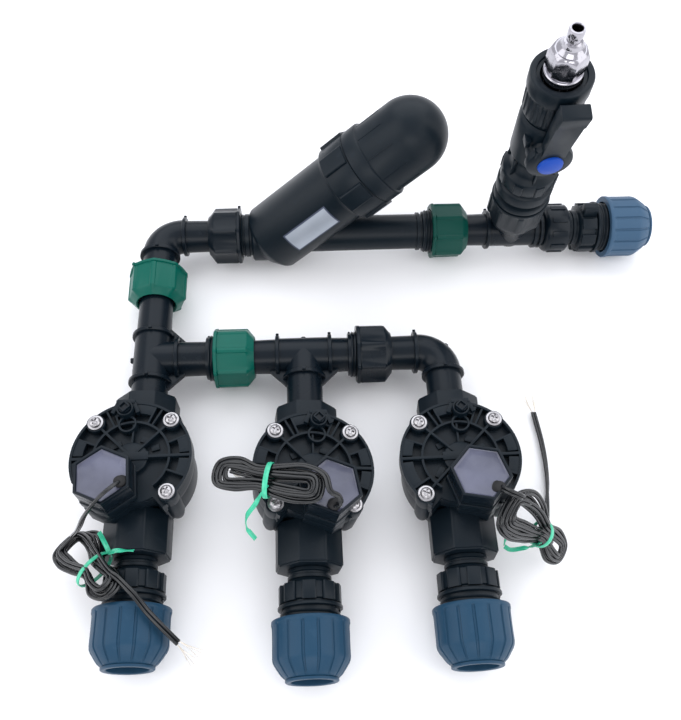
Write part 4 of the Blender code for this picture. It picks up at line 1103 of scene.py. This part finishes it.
# %% Adapters
def outlet_adapter(name, node, at, lugs=False):
    """The black piece between a threaded port and the nut."""
    solid = Solid()
    solid.turned([
        (9.5, -11.5), (13.2, -11.5), (13.4, 0.2), (15.2, 0.4), (15.4, 2.6), (14.2, 3.2), (14.2, 4.6),
        (15.4, 5.2),
        (15.4, 7.2), (14.4, 7.8), (15.4, 9.4), (18.0, 10.0), (19.6, 10.8), (20.2, 12.0), (20.2, 22.4),
        (19.0, 23.4),
        (19.0, 24.6), (22.2, 25.0), (22.5, 25.5), (22.5, 27.0), (22.0, 27.5), (19.9, 27.7), (19.9, 48.0),
        (13.1, 48.0), (13.1, 16.0), (9.5, 16.0),
    ], at, 64)
    pad = Solid()
    pad.prism([(-3, -4.6), (0.6, -4.9), (1.25, -3.9), (1.25, 3.9), (0.6, 4.9), (-3, 4.6)], 11.2, 23.6,
              Matrix(), 0.35)
    copies(solid, pad, 9, 20.2, "moulded_black", at)
    thread(solid, 20.0, 2.6, 7.2, 0.95, "moulded_black", at @ Matrix.Translation((0, 0, 28.9)))
    if lugs:
        for side in (-1, 1):
            here = at @ Matrix.Rotation(math.radians(90 * side), 4, "Z")
            solid.prism([(17, -4.5), (27.5, -4.5), (29.8, -2.5), (29.8, 2.5), (27.5, 4.5), (17, 4.5)], 11.6,
                        23.4, here, 0.7)
    return solid.finish(name, FIXED, "black_plastic", "moulded_black", node)


for number, (column, middle) in enumerate(zip(COLUMNS, MIDDLES), 1):
    face = along_y(column, middle - VALVE_HALF, -1)
    turn = face @ Matrix.Rotation(math.radians((4, 11, 7)[number - 1]), 4, "Z")
    outlet_adapter(f"outlet_adapter_look_{number}", f"outlet_adapter_{number}", turn)
    made = compression_nut(f"outlet_nut_look_{number}", f"outlet_nut_{number}", f"outlet_nut_{number}", turn, "moulded_blue")
    print(made.name, len(made.data.polygons), "faces")
INLET_FACE = along_x(185.7 + 49.0, SUPPLY_ROW)
outlet_adapter("inlet_adapter_look", "inlet_adapter", INLET_FACE, True)
compression_nut("inlet_nut_look", "inlet_nut", "inlet_nut", INLET_FACE, "moulded_pale_blue")
# %% [markdown]
# ## Union nuts
# A union joins two fittings without turning either pipe. Its nut has eight broad flats for a strap wrench, a
# cone at the lip end and a thin rim at the open end. The flats come from one line of arithmetic: on a
# polygon, the radius at an angle d from the middle of a flat is the flat's distance divided by cos d.

# %% Flats round an axis
def flats(count, share_at, first=0.0):
    """Stations for a polygon: share_at holds (share of half a flat, extra height in shares of a corner)."""
    half = math.pi / count
    corner = 1 / math.cos(half) - 1
    rows = []
    for k in range(count):
        middle = first + 2 * half * k
        for place, extra in share_at:
            rows.append((middle + place * half, (1 / math.cos(place * half) - 1) / corner + extra))
    return rows


PANELS = ((-1.0, 0.10), (-0.80, 0.20), (-0.74, -0.12), (-0.4, -0.12), (0.0, -0.12), (0.4, -0.12),
          (0.74, -0.12),
          (0.80, 0.20))
HOLLOWS = ((-1.0, 0.15), (-0.84, 0.22), (-0.66, -0.12), (-0.35, -0.42), (0.0, -0.50), (0.35, -0.42),
           (0.66, -0.12),
           (0.84, 0.22))


def union_nut(name, node, at, long, look, slot, reach=24.0, panels=PANELS, cone=5.0, spin=0.0):
    """A union nut that starts at its lip and goes along Z."""
    flat = reach * math.cos(math.pi / 8)
    corner = reach - flat
    hole = 15.2
    solid = Solid()
    solid.turned([
        (hole, 1.2), (hole + 1.2, 0.0), (flat - cone - 0.4, 0.0), (flat - cone, 0.5),
        (flat - 0.8, cone - 0.6, corner * 0.6),
        (flat, cone + 0.8, corner), (flat + 0.1, long - 3.6, corner), (flat + 0.2, long - 3.0, corner * 0.6),
        (flat + 1.5, long - 2.6, corner * 0.45), (flat + 1.5, long - 0.6, corner * 0.45),
        (flat + 0.8, long, corner * 0.4),
        (19.6, long), (19.3, long - 0.8), (19.3, 4.6), (hole, 4.2),
    ], at, flats(8, panels, math.radians(spin)))
    nib = at @ Matrix.Rotation(math.radians(spin + 22.5), 4, "Z")
    solid.block((2.4, 2.6, 2.4), (reach + 1.0, 0, long - 1.6), nib, 0.5)
    return solid.finish(name, node, slot, look, node, smooth=32)


def along(column, row, direction):
    """A frame that starts at a place in the plan and runs along one of the four plan directions."""
    step = {"right": (1, 0, 0), "left": (-1, 0, 0), "up": (0, 1, 0), "down": (0, -1, 0)}[direction]
    return placed((column, row, AXIS_HEIGHT), step, (0, 0, 1))


UNIONS = (
    ("green_union_nut_1", along(COLUMNS[0], 275.0, "up"), 31.5, "moulded_green", "green_plastic", PANELS,
     22.5),
    ("green_union_nut_2", along(-39.3, VALVE_ROW, "left"), 31.5, "moulded_green", "green_plastic", PANELS,
     8.0),
    ("green_union_nut_3", along(146.0, SUPPLY_ROW, "left"), 31.5, "moulded_dark_green", "green_plastic",
     PANELS, 14.0),
    ("black_union_nut_1", along(-79.8, SUPPLY_ROW, "right"), 28.0, "moulded_black_fine", "black_plastic",
     HOLLOWS, 6.0),
    ("black_union_nut_2", along(70.2, VALVE_ROW, "left"), 28.0, "moulded_black_fine", "black_plastic",
     HOLLOWS, 12.0),
)
for node, at, long, look, slot, panels, spin in UNIONS:
    made = union_nut(f"{node}_look", node, at, long, look, slot, panels=panels, spin=spin)
    print(made.name, len(made.data.polygons), "faces")

# %% [markdown]
# ## Elbows and tees
# Each arm of a fitting is a plain tube with one raised rib, the mark where a mould's slide ends. An arm stops
# in a union in one of two ways: as a tail, whose flange is inside the nut, or as a threaded sleeve, which
# shows a turn or two of its thread. Elbows are swept round a quarter circle, so the outside is smooth and the
# inside corner is tight. Tees have small webs in their corners.

# %% Arms, bends and webs
PIPE, SLEEVE_OVER, RIB_FROM = 13.7, 14.7, 21.0


def bored(solid, rows, at, hole=9.5, angles=64, bevel=0.0):
    """A tube with stepped outside: rows of (radius, z), drilled from end to end."""
    return solid.turned([(hole, rows[0][1]), *rows, (hole, rows[-1][1])], at, angles, bevel)


def arm(solid, at, ending, rib=True, start=0.0):
    """One arm. ending is (kind, length): a tail, a thread, or a plain spigot."""
    kind, reach = ending
    rows = [(SLEEVE_OVER, start), (SLEEVE_OVER, RIB_FROM - 1.6)]
    if rib:
        rows += [(16.6, RIB_FROM - 1.5), (17.0, RIB_FROM - 1.1), (17.0, RIB_FROM + 1.1),
                 (16.6, RIB_FROM + 1.5)]
    if kind == "tail":
        rows += [(PIPE + 0.3, RIB_FROM + 1.6), (PIPE, reach - 1.0), (PIPE, reach + 5.0), (18.4, reach + 5.3),
                 (18.4, reach + 9.0)]
    elif kind == "thread":
        rows += [(PIPE + 0.3, RIB_FROM + 1.6), (PIPE, reach - 7.0), (17.2, reach - 6.6), (17.2, reach + 20.0)]
    else:
        rows += [(PIPE + 0.4, RIB_FROM + 1.6), (PIPE + 0.3, reach + 12.0)]
    bored(solid, rows, at)
    if kind == "thread":
        thread(solid, 17.5, 2.3, 5.0, 1.0, "moulded_black", at @ Matrix.Translation((0, 0, reach - 5.2)))
    if rib:
        solid.block((2.6, 2.8, 2.4), (17.4, 0, RIB_FROM), at, 0.5)


def nib_up(at, lean=62.0):
    """An arm's frame turned so that its nib points up and back."""
    up = at.to_3x3().inverted() @ Vector((0, math.sin(math.radians(lean)), math.cos(math.radians(lean))))
    return at @ Matrix.Rotation(math.atan2(up.y, up.x), 4, "Z")


def fitting(name, node, column, row, arms, webs=(), bend=False):
    """A tee or an elbow. webs are pairs of plan directions with a web between them."""
    solid = Solid()
    for direction, ending in arms:
        arm(solid, nib_up(along(column, row, direction)), ending, start=18.6 if bend else 0.0)
    if bend:
        one, two = (along(column, row, direction).to_3x3() @ Vector((0, 0, 1)) for direction, _ in arms)
        middle = Vector((column, row, AXIS_HEIGHT))
        turn = 18.8
        centre = middle + (one + two) * turn
        points = [centre - two * turn * math.cos(a) - one * turn * math.sin(a)
                  for a in (math.pi / 2 * k / 16 for k in range(17))]
        solid.tube(points, SLEEVE_OVER, 56, Vector((0, 0, 1)))
        corner = placed(centre - (one + two).normalized() * (turn + SLEEVE_OVER - 0.5),
                        (one + two).normalized() * -1, (0, 0, 1))
        solid.block((3.0, 4.5, 3.4), (0, 0, 0.6), corner, 0.6)
    else:
        opposite = {"right": "left", "left": "right", "up": "down", "down": "up"}
        directions = [direction for direction, _ in arms]
        closed = [d for d in directions if opposite[d] not in directions]
        for direction in closed:
            back = along(column, row, opposite[direction])
            solid.turned([(0, 17.0), (2.0, 17.0), (2.4, 16.4), (2.4, 10.0), (0, 10.0)], back, 24)
        for one, two in webs:
            a, b = (along(0, 0, direction).to_3x3() @ Vector((0, 0, 1)) for direction in (one, two))
            outline = [a * 12.5 + b * 12.5, a * 27.5 + b * 12.5, a * 27.5 + b * 14.4, a * 14.4 + b * 27.5,
                       a * 12.5 + b * 27.5]
            if a.cross(b).z < 0:
                outline.reverse()
            solid.prism([(p.x, p.y) for p in outline], -2.0, 2.0,
                        Matrix.Translation((column, row, AXIS_HEIGHT)), 0.5)
    return solid.finish(name, FIXED, "black_plastic", "moulded_black_fine", node)


# %% The four fittings between valves and supply line
PORT_FACES = [VALVE_ROW - middle - VALVE_HALF for middle in MIDDLES]
FITTINGS = (
    ("corner_elbow", COLUMNS[0], SUPPLY_ROW, (("right", ("tail", 42.0)), ("down", ("plain", 36.0))), (),
     True),
    ("tee_1", COLUMNS[0], VALVE_ROW, (("up", ("tail", 53.0)), ("right", ("thread", 51.0)),
                                      ("down", ("plain", PORT_FACES[0]))),
                                      (("up", "right"), ("down", "right")), False),
    ("tee_2", COLUMNS[1], VALVE_ROW, (("left", ("tail", 39.3)), ("right", ("thread", 42.2)),
                                      ("down", ("plain", PORT_FACES[1]))),
                                      (("down", "left"), ("down", "right")), False),
    ("end_elbow", COLUMNS[2], VALVE_ROW, (("left", ("tail", 40.7)), ("down", ("plain", PORT_FACES[2]))), (),
     True),
)
for node, column, row, arms, webs, bend in FITTINGS:
    made = fitting(f"{node}_look", node, column, row, arms, webs, bend)
    print(made.name, len(made.data.polygons), "faces")

# %% [markdown]
# ## The supply tee
# The run of this tee lies along the supply line: a tail towards the filter, and a large threaded socket
# towards the inlet. Its third arm leans with the ball valve's axis.

# %% Supply tee
SUPPLY_X = 185.7
supply = Solid()
arm(supply, nib_up(along(SUPPLY_X, SUPPLY_ROW, "left")), ("tail", 39.7))
socket = along(SUPPLY_X, SUPPLY_ROW, "right")
bored(supply, [(SLEEVE_OVER, 0), (SLEEVE_OVER, 19.4), (16.9, 19.6), (16.9, 22.4), (14.4, 22.6), (14.4, 24.6),
               (16.9, 24.8),
               (16.9, 26.4), (14.4, 26.6), (14.4, 28.4), (18.8, 29.6), (20.0, 31.0), (20.5, 32.0),
               (20.5, 48.4), (20.0, 49.0)],
      socket, 13.9)
spline = Solid()
spline.block((1.6, 5.2, 13.0), (0, 0, 40.5), Matrix(), 0.4)
copies(supply, spline, 10, 20.6, "moulded_black_fine", socket)
bored(supply, [(SLEEVE_OVER, 0), (SLEEVE_OVER + 0.4, 17.4), (15.4, 18.0), (15.4, 21.0), (13.8, 21.4),
               (13.8, 24.4)],
      POST_AT)
supply.turned([(0, 15.5), (4, 15.3), (9, 13.2), (12.5, 9.4), (14.7, 2.0), (0, 2.0)],
              placed((SUPPLY_X, SUPPLY_ROW, AXIS_HEIGHT), (0, 0, -1), (0, 1, 0)), 40)
made = supply.finish("supply_tee_look", FIXED, "black_plastic", "moulded_black_fine", "supply_tee")
print(made.name, len(made.data.polygons), "faces")
# %% [markdown]
# ## The filter
# The housing is a wide leaning bowl that the supply line runs into. At its mouth is a flange ring with wrench
# lugs, and on that screws the cap: a smooth ring and a long dome with fine moulded ribs along its foot. A
# blank silvered label lies on the housing's lower front.

# %% Housing and ports
housing = Solid()
housing.turned([
    (0, -8.0), (25.2, -8.0), (25.2, 104.0), (33.0, 104.0), (33.4, 103.4), (33.4, 80.6), (33.0, 80.0),
    (31.2, 79.4),
    (30.4, 77.6), (30.0, 76.5), (30.0, -2.6), (29.2, -4.4), (21.6, -12.4), (20.0, -13.0), (0, -13.0),
], FILTER_AT, 96)
lug = Solid()
lug.prism([(-2.0, -8.6), (1.0, -8.2), (1.7, -7.4), (1.7, 7.4), (1.0, 8.2), (-2.0, 8.6)], 82.0, 103.4,
          Matrix(), 0.35)
copies(housing, lug, 6, 33.2, "moulded_black", FILTER_AT @ Matrix.Rotation(math.radians(38), 4, "Z"))
line_in = along(0, SUPPLY_ROW, "right")
bored(housing, [(16.8, -74.0), (17.2, -73.6), (17.2, -48.2), (18.6, -47.8), (18.6, -44.6), (17.6, -44.0),
                (17.6, -42.6),
                (20.6, -42.0), (22.2, -40.6), (22.2, -20.0)], line_in)
thread(housing, 17.5, 2.3, 11.0, 0.95, "moulded_black", line_in @ Matrix.Translation((0, 0, -73.0)))
bored(housing, [(15.6, -20.0), (15.2, 96.0), (15.2, 101.6), (16.6, 101.9), (16.6, 104.4), (15.2, 104.7),
                (15.2, 106.4),
                (17.2, 107.0), (17.2, 137.8)], line_in)
thread(housing, 17.5, 2.3, 13.0, 0.95, "moulded_black", line_in @ Matrix.Translation((0, 0, 108.0)))
made = housing.finish("filter_housing_look", FIXED, "black_plastic", "moulded_black", "filter_housing")
print(made.name, len(made.data.polygons), "faces")

# %% Cap
cap = Solid()
DOME_R, STRAIGHT_END = 31.0, 148.3
dome = [(DOME_R * math.cos(a), STRAIGHT_END + DOME_R * math.sin(a)) for a in (math.pi / 2 * k / 20 for k in range(20))]
inside = [(28.5 * math.cos(a), STRAIGHT_END + 28.5 * math.sin(a)) for a in (math.pi / 2 * k / 10 for k in range(10))]
cap.turned([(0, STRAIGHT_END + 28.5), *inside[::-1], (28.5, 105.0), (32.9, 104.3), (33.5, 104.9),
            (33.5, 116.4),
            (33.0, 117.2), (31.6, 117.8), (31.2, 118.6), *dome, (0, STRAIGHT_END + DOME_R)], FILTER_AT, 112)
fin = Solid()
fin.prism([(-0.6, -0.55), (0.45, -0.35), (0.45, 0.35), (-0.6, 0.55)], 118.0, 141.0, Matrix(), 0.15)
copies(cap, fin, 10, 31.0, "moulded_black", FILTER_AT @ Matrix.Rotation(math.radians(20), 4, "Z"))
made = cap.finish("filter_cap_look", "filter_cap", "black_plastic", "moulded_black", "filter_cap")
print(made.name, len(made.data.polygons), "faces")

# %% Label
LABEL_MIDDLE, LABEL_LONG, LABEL_WIDE = (42.0, 162.0), 46.0, 21.0


def label(name, grow, lift, look):
    """A thin film that follows the housing's curve: (t, angle) of its middle, and a little lift."""
    solid = Solid()
    rings = []
    half_long, half_turn = LABEL_LONG / 2 - grow, (LABEL_WIDE / 2 - grow) / 30.0
    for k in range(13):
        a = math.radians(LABEL_MIDDLE[1]) - half_turn + 2 * half_turn * k / 12
        ring = []
        for radius, t in ((30.02, -half_long), (30.02, half_long), (30.05 + lift, half_long),
                          (30.05 + lift, -half_long)):
            ring.append(solid.mesh.verts.new((radius * math.cos(a), radius * math.sin(a),
                                              LABEL_MIDDLE[0] + t)))
        rings.append(ring)
    for one, two in zip(rings, rings[1:]):
        for i in range(4):
            solid.mesh.faces.new((one[i], one[(i + 1) % 4], two[(i + 1) % 4], two[i]))
    solid.mesh.faces.new(rings[0])
    solid.mesh.faces.new(rings[-1][::-1])
    solid.close([v for ring in rings for v in ring], FILTER_AT, 0.0)
    return solid.finish(name, FIXED, None, look)


print(label("filter_label_border", 0.0, 0.10, "label_ink").name,
      label("filter_label", 1.3, 0.16, "label_film").name)
# %% [markdown]
# ## The ball valve
# A small ball valve stands on the leaning arm. From the bottom: a union nut with a cone under its flats, a
# short ringed tail, the body with a hub to the front, the lever handle with a blue cap over its screw, and a
# splined end nut with a wide smooth collar that holds the plug for an air line.

# %% Union nut and body of the ball valve
POST_NUT_AT = POST_AT @ Matrix.Translation((0, 0, 20.0))
POST_NUT_FLAT = 23.0
corner = 24.6 - POST_NUT_FLAT
nut = Solid()
nut.turned([
    (15.6, 1.0), (16.4, 0.0), (18.2, 0.0), (18.8, 0.6), (21.6, 9.0, corner * 0.35),
    (POST_NUT_FLAT, 13.5, corner),
    (POST_NUT_FLAT, 33.5, corner), (POST_NUT_FLAT + 0.4, 34.2, corner * 0.4),
    (POST_NUT_FLAT + 0.9, 34.8, 0.0),
    (POST_NUT_FLAT + 0.9, 36.4, 0.0), (POST_NUT_FLAT + 0.3, 37.0, 0.0), (19.6, 37.0), (19.3, 36.0),
    (19.3, 5.0), (15.6, 4.4),
], POST_NUT_AT, flats(8, PANELS, math.radians(14)))
made = nut.finish("post_union_nut_look", "post_union_nut", "black_plastic", "moulded_black", "post_union_nut",
                  smooth=32)
print(made.name, len(made.data.polygons), "faces")

HUB_HEIGHT = 138.0
HUB_AT = POST_AT @ placed((0, 0, HUB_HEIGHT), (0, -1, 0), (0, 0, 1))
body = Solid()
bored(body, [
    (18.2, 34.0), (18.2, 57.6), (22.0, 58.0), (22.9, 58.8), (22.9, 63.4), (22.4, 64.2), (20.4, 64.8),
    (20.2, 66.0),
    (20.2, 68.4), (22.2, 69.2), (22.9, 70.0), (22.9, 79.0), (22.4, 80.0), (20.6, 81.0), (20.4, 83.0),
    (21.6, 84.0),
    (22.0, 85.0), (22.0, 96.4), (21.2, 98.0), (18.2, 100.0), (17.0, 102.0), (17.0, 112.0), (18.4, 116.0),
    (20.2, 119.0),
    (20.6, 121.0), (20.6, 156.0), (20.0, 159.0), (18.6, 161.6), (15.7, 162.0), (15.7, 190.0),
], POST_AT, 9.5, 72)
pad = Solid()
pad.prism([(-2.0, -4.0), (0.5, -3.6), (0.9, -3.0), (0.9, 3.0), (0.5, 3.6), (-2.0, 4.0)], 85.0, 96.0, Matrix(),
          0.3)
copies(body, pad, 8, 22.0, "moulded_black", POST_AT @ Matrix.Rotation(math.radians(10), 4, "Z"))
rib = Solid()
rib.prism([(-1.5, -1.0), (1.6, -0.8), (1.6, 0.8), (-1.5, 1.0)], 98.0, 117.0, Matrix(), 0.3)
copies(body, rib, 6, 18.6, "moulded_black", POST_AT @ Matrix.Rotation(math.radians(24), 4, "Z"))
body.turned([(0, 8.0), (15.2, 8.0), (15.0, 19.4), (14.2, 21.3), (0, 21.3)], HUB_AT, 48)
for x, y in ((-16.5, 11.0), (16.5, 11.0)):
    body.block((4.0, 7.0, 8.0), (x * 0.98, y, 14.4), HUB_AT, 0.6)
made = body.finish("ball_valve_body_look", FIXED, "black_plastic", "moulded_black", "ball_valve_body")
print(made.name, len(made.data.polygons), "faces")

# %% [markdown]
# The handle is a flat hub with a wedge-shaped lever that leans away from the body and ends in a thick tip. It
# is cut from its side outline, a prism across the valve, and a second outline gives the hub its two shoulders.

# %% Handle, cap and end nut
handle = Solid()
handle.turned([(0, 22.1), (16.0, 22.1), (17.2, 22.9), (17.4, 25.0), (16.6, 27.4), (13.4, 29.0), (10.4, 29.5),
               (0, 29.5)],
              HUB_AT, 64)
lever = [(22.2, 4.0), (22.2, 40.0), (25.0, 60.5), (26.4, 61.6), (35.4, 60.0), (36.4, 58.4), (34.6, 47.0),
         (33.4, 45.4),
         (29.8, 16.0), (29.4, 8.0), (28.6, 4.0)]


def side_prism(solid, outline, left, right, narrow=0.0, bevel=0.8):
    """An outline of (out from the post, up along it), across the valve from left to right."""
    rings = []
    for x, lean in ((left, 1), (right, -1)):
        rings.append([solid.mesh.verts.new((x + lean * narrow * (1 - up / 60.0), up, out)) for out,
                      up in outline])
    count = len(outline)
    for k in range(count):
        solid.mesh.faces.new((rings[0][k], rings[0][(k + 1) % count], rings[1][(k + 1) % count], rings[1][k]))
    solid.mesh.faces.new(rings[0][::-1])
    solid.mesh.faces.new(rings[1])
    return solid.close(rings[0] + rings[1], HUB_AT @ Matrix.Rotation(math.radians(-3.5), 4, "Z"), bevel)


side_prism(handle, lever, -10.2, 10.2, 1.2)
side_prism(handle, [(22.15, -9.0), (22.15, 12.0), (27.4, 12.0), (28.4, 8.0), (28.6, -6.0), (27.0, -9.0)],
           -13.6, -5.0, 0.0, 0.6)
made = handle.finish("ball_valve_handle_look", "ball_valve_handle", "black_plastic", "moulded_black",
                     "ball_valve_handle")
print(made.name, len(made.data.polygons), "faces")
button = Solid()
button.turned([(0, 29.0), (9.3, 29.0), (9.4, 30.2), (8.8, 31.3), (6.6, 32.1), (3.0, 32.5), (0, 32.6)], HUB_AT,
              40)
button.finish("handle_cap_look", "ball_valve_handle", "cap_blue", "moulded_cap_blue", "handle_cap")

end_nut = Solid()
end_nut.turned([
    (16.0, 163.0), (18.0, 162.7), (19.4, 164.0), (19.9, 166.0, 0.0), (19.9, 168.0, 0.75), (20.3, 184.0, 0.75),
    (20.7, 186.4, 0.0), (21.6, 188.0), (21.9, 189.0), (21.9, 199.6), (21.2, 200.8), (19.0, 201.0),
    (17.4, 200.4),
    (16.8, 198.6), (14.6, 198.2), (14.6, 197.0), (16.0, 196.6),
], POST_AT, teeth(26, 0.46, 0.10, across=1, between=1))
made = end_nut.finish("ball_valve_end_nut_look", "ball_valve_end_nut", "black_plastic", "moulded_black",
                      "ball_valve_end_nut")
print(made.name, len(made.data.polygons), "faces")

# %% [markdown]
# ## The plug for an air line
# Winter is the enemy of such a manifold, so it is blown out with air through this plated steel plug: a flange,
# a hexagon with its corners turned off, a neck, and a grooved tip. The hexagon comes from the same arithmetic
# as the union nuts' flats, and its corners fade out where a cone cuts them.

# %% Plated plug
HEXAGON = [(share, 0.0) for share in (-1.0, -0.75, -0.5, -0.25, 0.0, 0.25, 0.5, 0.75)]
HEX_FLAT = 12.0
corner = HEX_FLAT / math.cos(math.pi / 6) - HEX_FLAT
plug = Solid()
plug.turned([(6.0, 196.6), (13.4, 196.6), (13.6, 197.4), (13.6, 203.4), (13.0, 204.2), (6.0, 204.2)], POST_AT,
            48, 0.2)
plug.turned([
    (6.0, 204.0), (12.2, 204.1), (12.1, 204.9, corner * 0.3), (12.0, 206.2, corner), (12.0, 217.8, corner),
    (11.9, 220.2, corner * 0.35), (11.5, 221.6), (10.2, 222.6), (6.0, 222.6),
], POST_AT, flats(6, HEXAGON, math.radians(8)))
plug.turned([
    (3.4, 200.0), (9.6, 200.0), (9.6, 222.4), (8.2, 224.0), (6.9, 225.4), (6.6, 226.4), (6.6, 228.6),
    (6.2, 229.3),
    (4.7, 229.9), (4.6, 230.8), (4.6, 233.0), (5.3, 233.9), (5.5, 234.6), (5.5, 238.9), (5.0, 240.0),
    (3.9, 240.2),
    (3.5, 239.6), (3.4, 238.0),
], POST_AT, 48)
made = plug.finish("quick_plug_look", FIXED, "chrome", "plated_steel", "quick_plug", smooth=34)
print(made.name, len(made.data.polygons), "faces")
# %% [markdown]
# ## Parts that stay as the frame made them
# The parts inside keep the shape that the frame gives them and only get a better finish: rubber diaphragms,
# their springs, the plungers in the coils, the split rings in the compression nuts, the filter's screen and
# the ball. The screen's weave is a pattern of crossed waves. Its openings are not made transparent but are
# painted near-black, a painted shade for the dark behind the screen.

# %% Screen, ball and inner finishes
weave = Look("screen_mesh", (0.46, 0.47, 0.48), 0.42, metallic=1.0)
place = weave.place()
waves = [weave.node("ShaderNodeTexWave", {"bands_direction": direction},
                    {"Vector": place, "Scale": 260.0, "Distortion": 0.0}, 1)
         for direction in ("X", "Z")]
openings_painted_dark = weave.ramp(waves[0], 0.45, 0.6) * weave.ramp(waves[1], 0.45, 0.6)
# Painted shade: the openings get a near-black colour instead of being cut or made clear.
weave.feed("Base Color", weave.blend(openings_painted_dark, (0.55, 0.56, 0.58), (0.02, 0.02, 0.022)))
weave.feed("Roughness", openings_painted_dark * 0.4 + 0.3)
weave.bump(1.0 - openings_painted_dark, 0.6, 0.0002)
LOOKS["screen_mesh"] = weave.material
metal("polished_ball", (0.74, 0.75, 0.77), 0.10, 0.3)
KEPT = {"diaphragm_": "rubber_black", "diaphragm_spring_": "spring_steel", "plunger_": "bright_steel",
        "split_ring_": "acetal_white", "filter_screen": "screen_mesh", "ball_and_stem": "polished_ball"}
dressed = []
for name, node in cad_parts.items():
    looks = [look for start, look in KEPT.items() if name.startswith(start)]
    if looks:
        for held in node.material_slots:
            held.material = LOOKS[looks[-1]]
        dressed.append(name)
print(len(dressed), "frame parts dressed:", ", ".join(sorted(dressed)))
# %% [markdown]
# ## Bench and light
# A plain pale bench and soft studio light: one large soft box high behind the object, which lays broad sheens
# on every face that looks up, a weaker one on each side to lift the edges, and an even pale surrounding.

# %% Bench, lights and surroundings
bench_look = Look("pale_bench", (0.93, 0.93, 0.935), 0.62)
bench_cloud = bench_look.noise(3.0, 3.0)
bench_look.feed("Base Color", bench_look.blend(bench_cloud, (0.915, 0.915, 0.925), (0.945, 0.945, 0.950)))
bench_mesh = bpy.data.meshes.new("bench")
WIDE = 6.0
bench_mesh.from_pydata([(-WIDE, -WIDE, 0), (WIDE, -WIDE, 0), (WIDE, WIDE, 0), (-WIDE, WIDE, 0)], [],
                       [(0, 1, 2, 3)])
bench_mesh.materials.append(bench_look.material)
bench = bpy.data.objects.new("bench", bench_mesh)
bpy.context.scene.collection.objects.link(bench)


def soft_box(name, at, aim, size, watts, colour=(1, 1, 1)):
    light = bpy.data.lights.new(name, "AREA")
    light.shape, light.size, light.size_y = "RECTANGLE", *size
    light.energy, light.color = watts, colour
    holder = bpy.data.objects.new(name, light)
    holder.location = at
    holder.rotation_euler = (Vector(aim) - Vector(at)).to_track_quat("-Z", "Y").to_euler()
    bpy.context.scene.collection.objects.link(holder)


CENTRE = (0.05, 0.18, 0.05)
soft_box("high_box", (0.10, 1.25, 1.35), CENTRE, (2.2, 1.6), 17.0, (0.93, 0.96, 1.0))
soft_box("left_box", (-1.15, 0.05, 0.85), CENTRE, (1.1, 1.6), 8.0)
soft_box("right_box", (1.15, 0.0, 0.80), CENTRE, (1.1, 1.6), 8.0)
soft_box("front_box", (0.0, -1.1, 0.95), CENTRE, (1.2, 0.6), 6.0)
world = bpy.data.worlds.new("surroundings")
bpy.context.scene.world = world
world.use_nodes = True
world.node_tree.nodes["Background"].inputs["Color"].default_value = (0.93, 0.94, 1.0, 1.0)
world.node_tree.nodes["Background"].inputs["Strength"].default_value = 0.95
bpy.context.scene.view_settings.view_transform = "Standard"
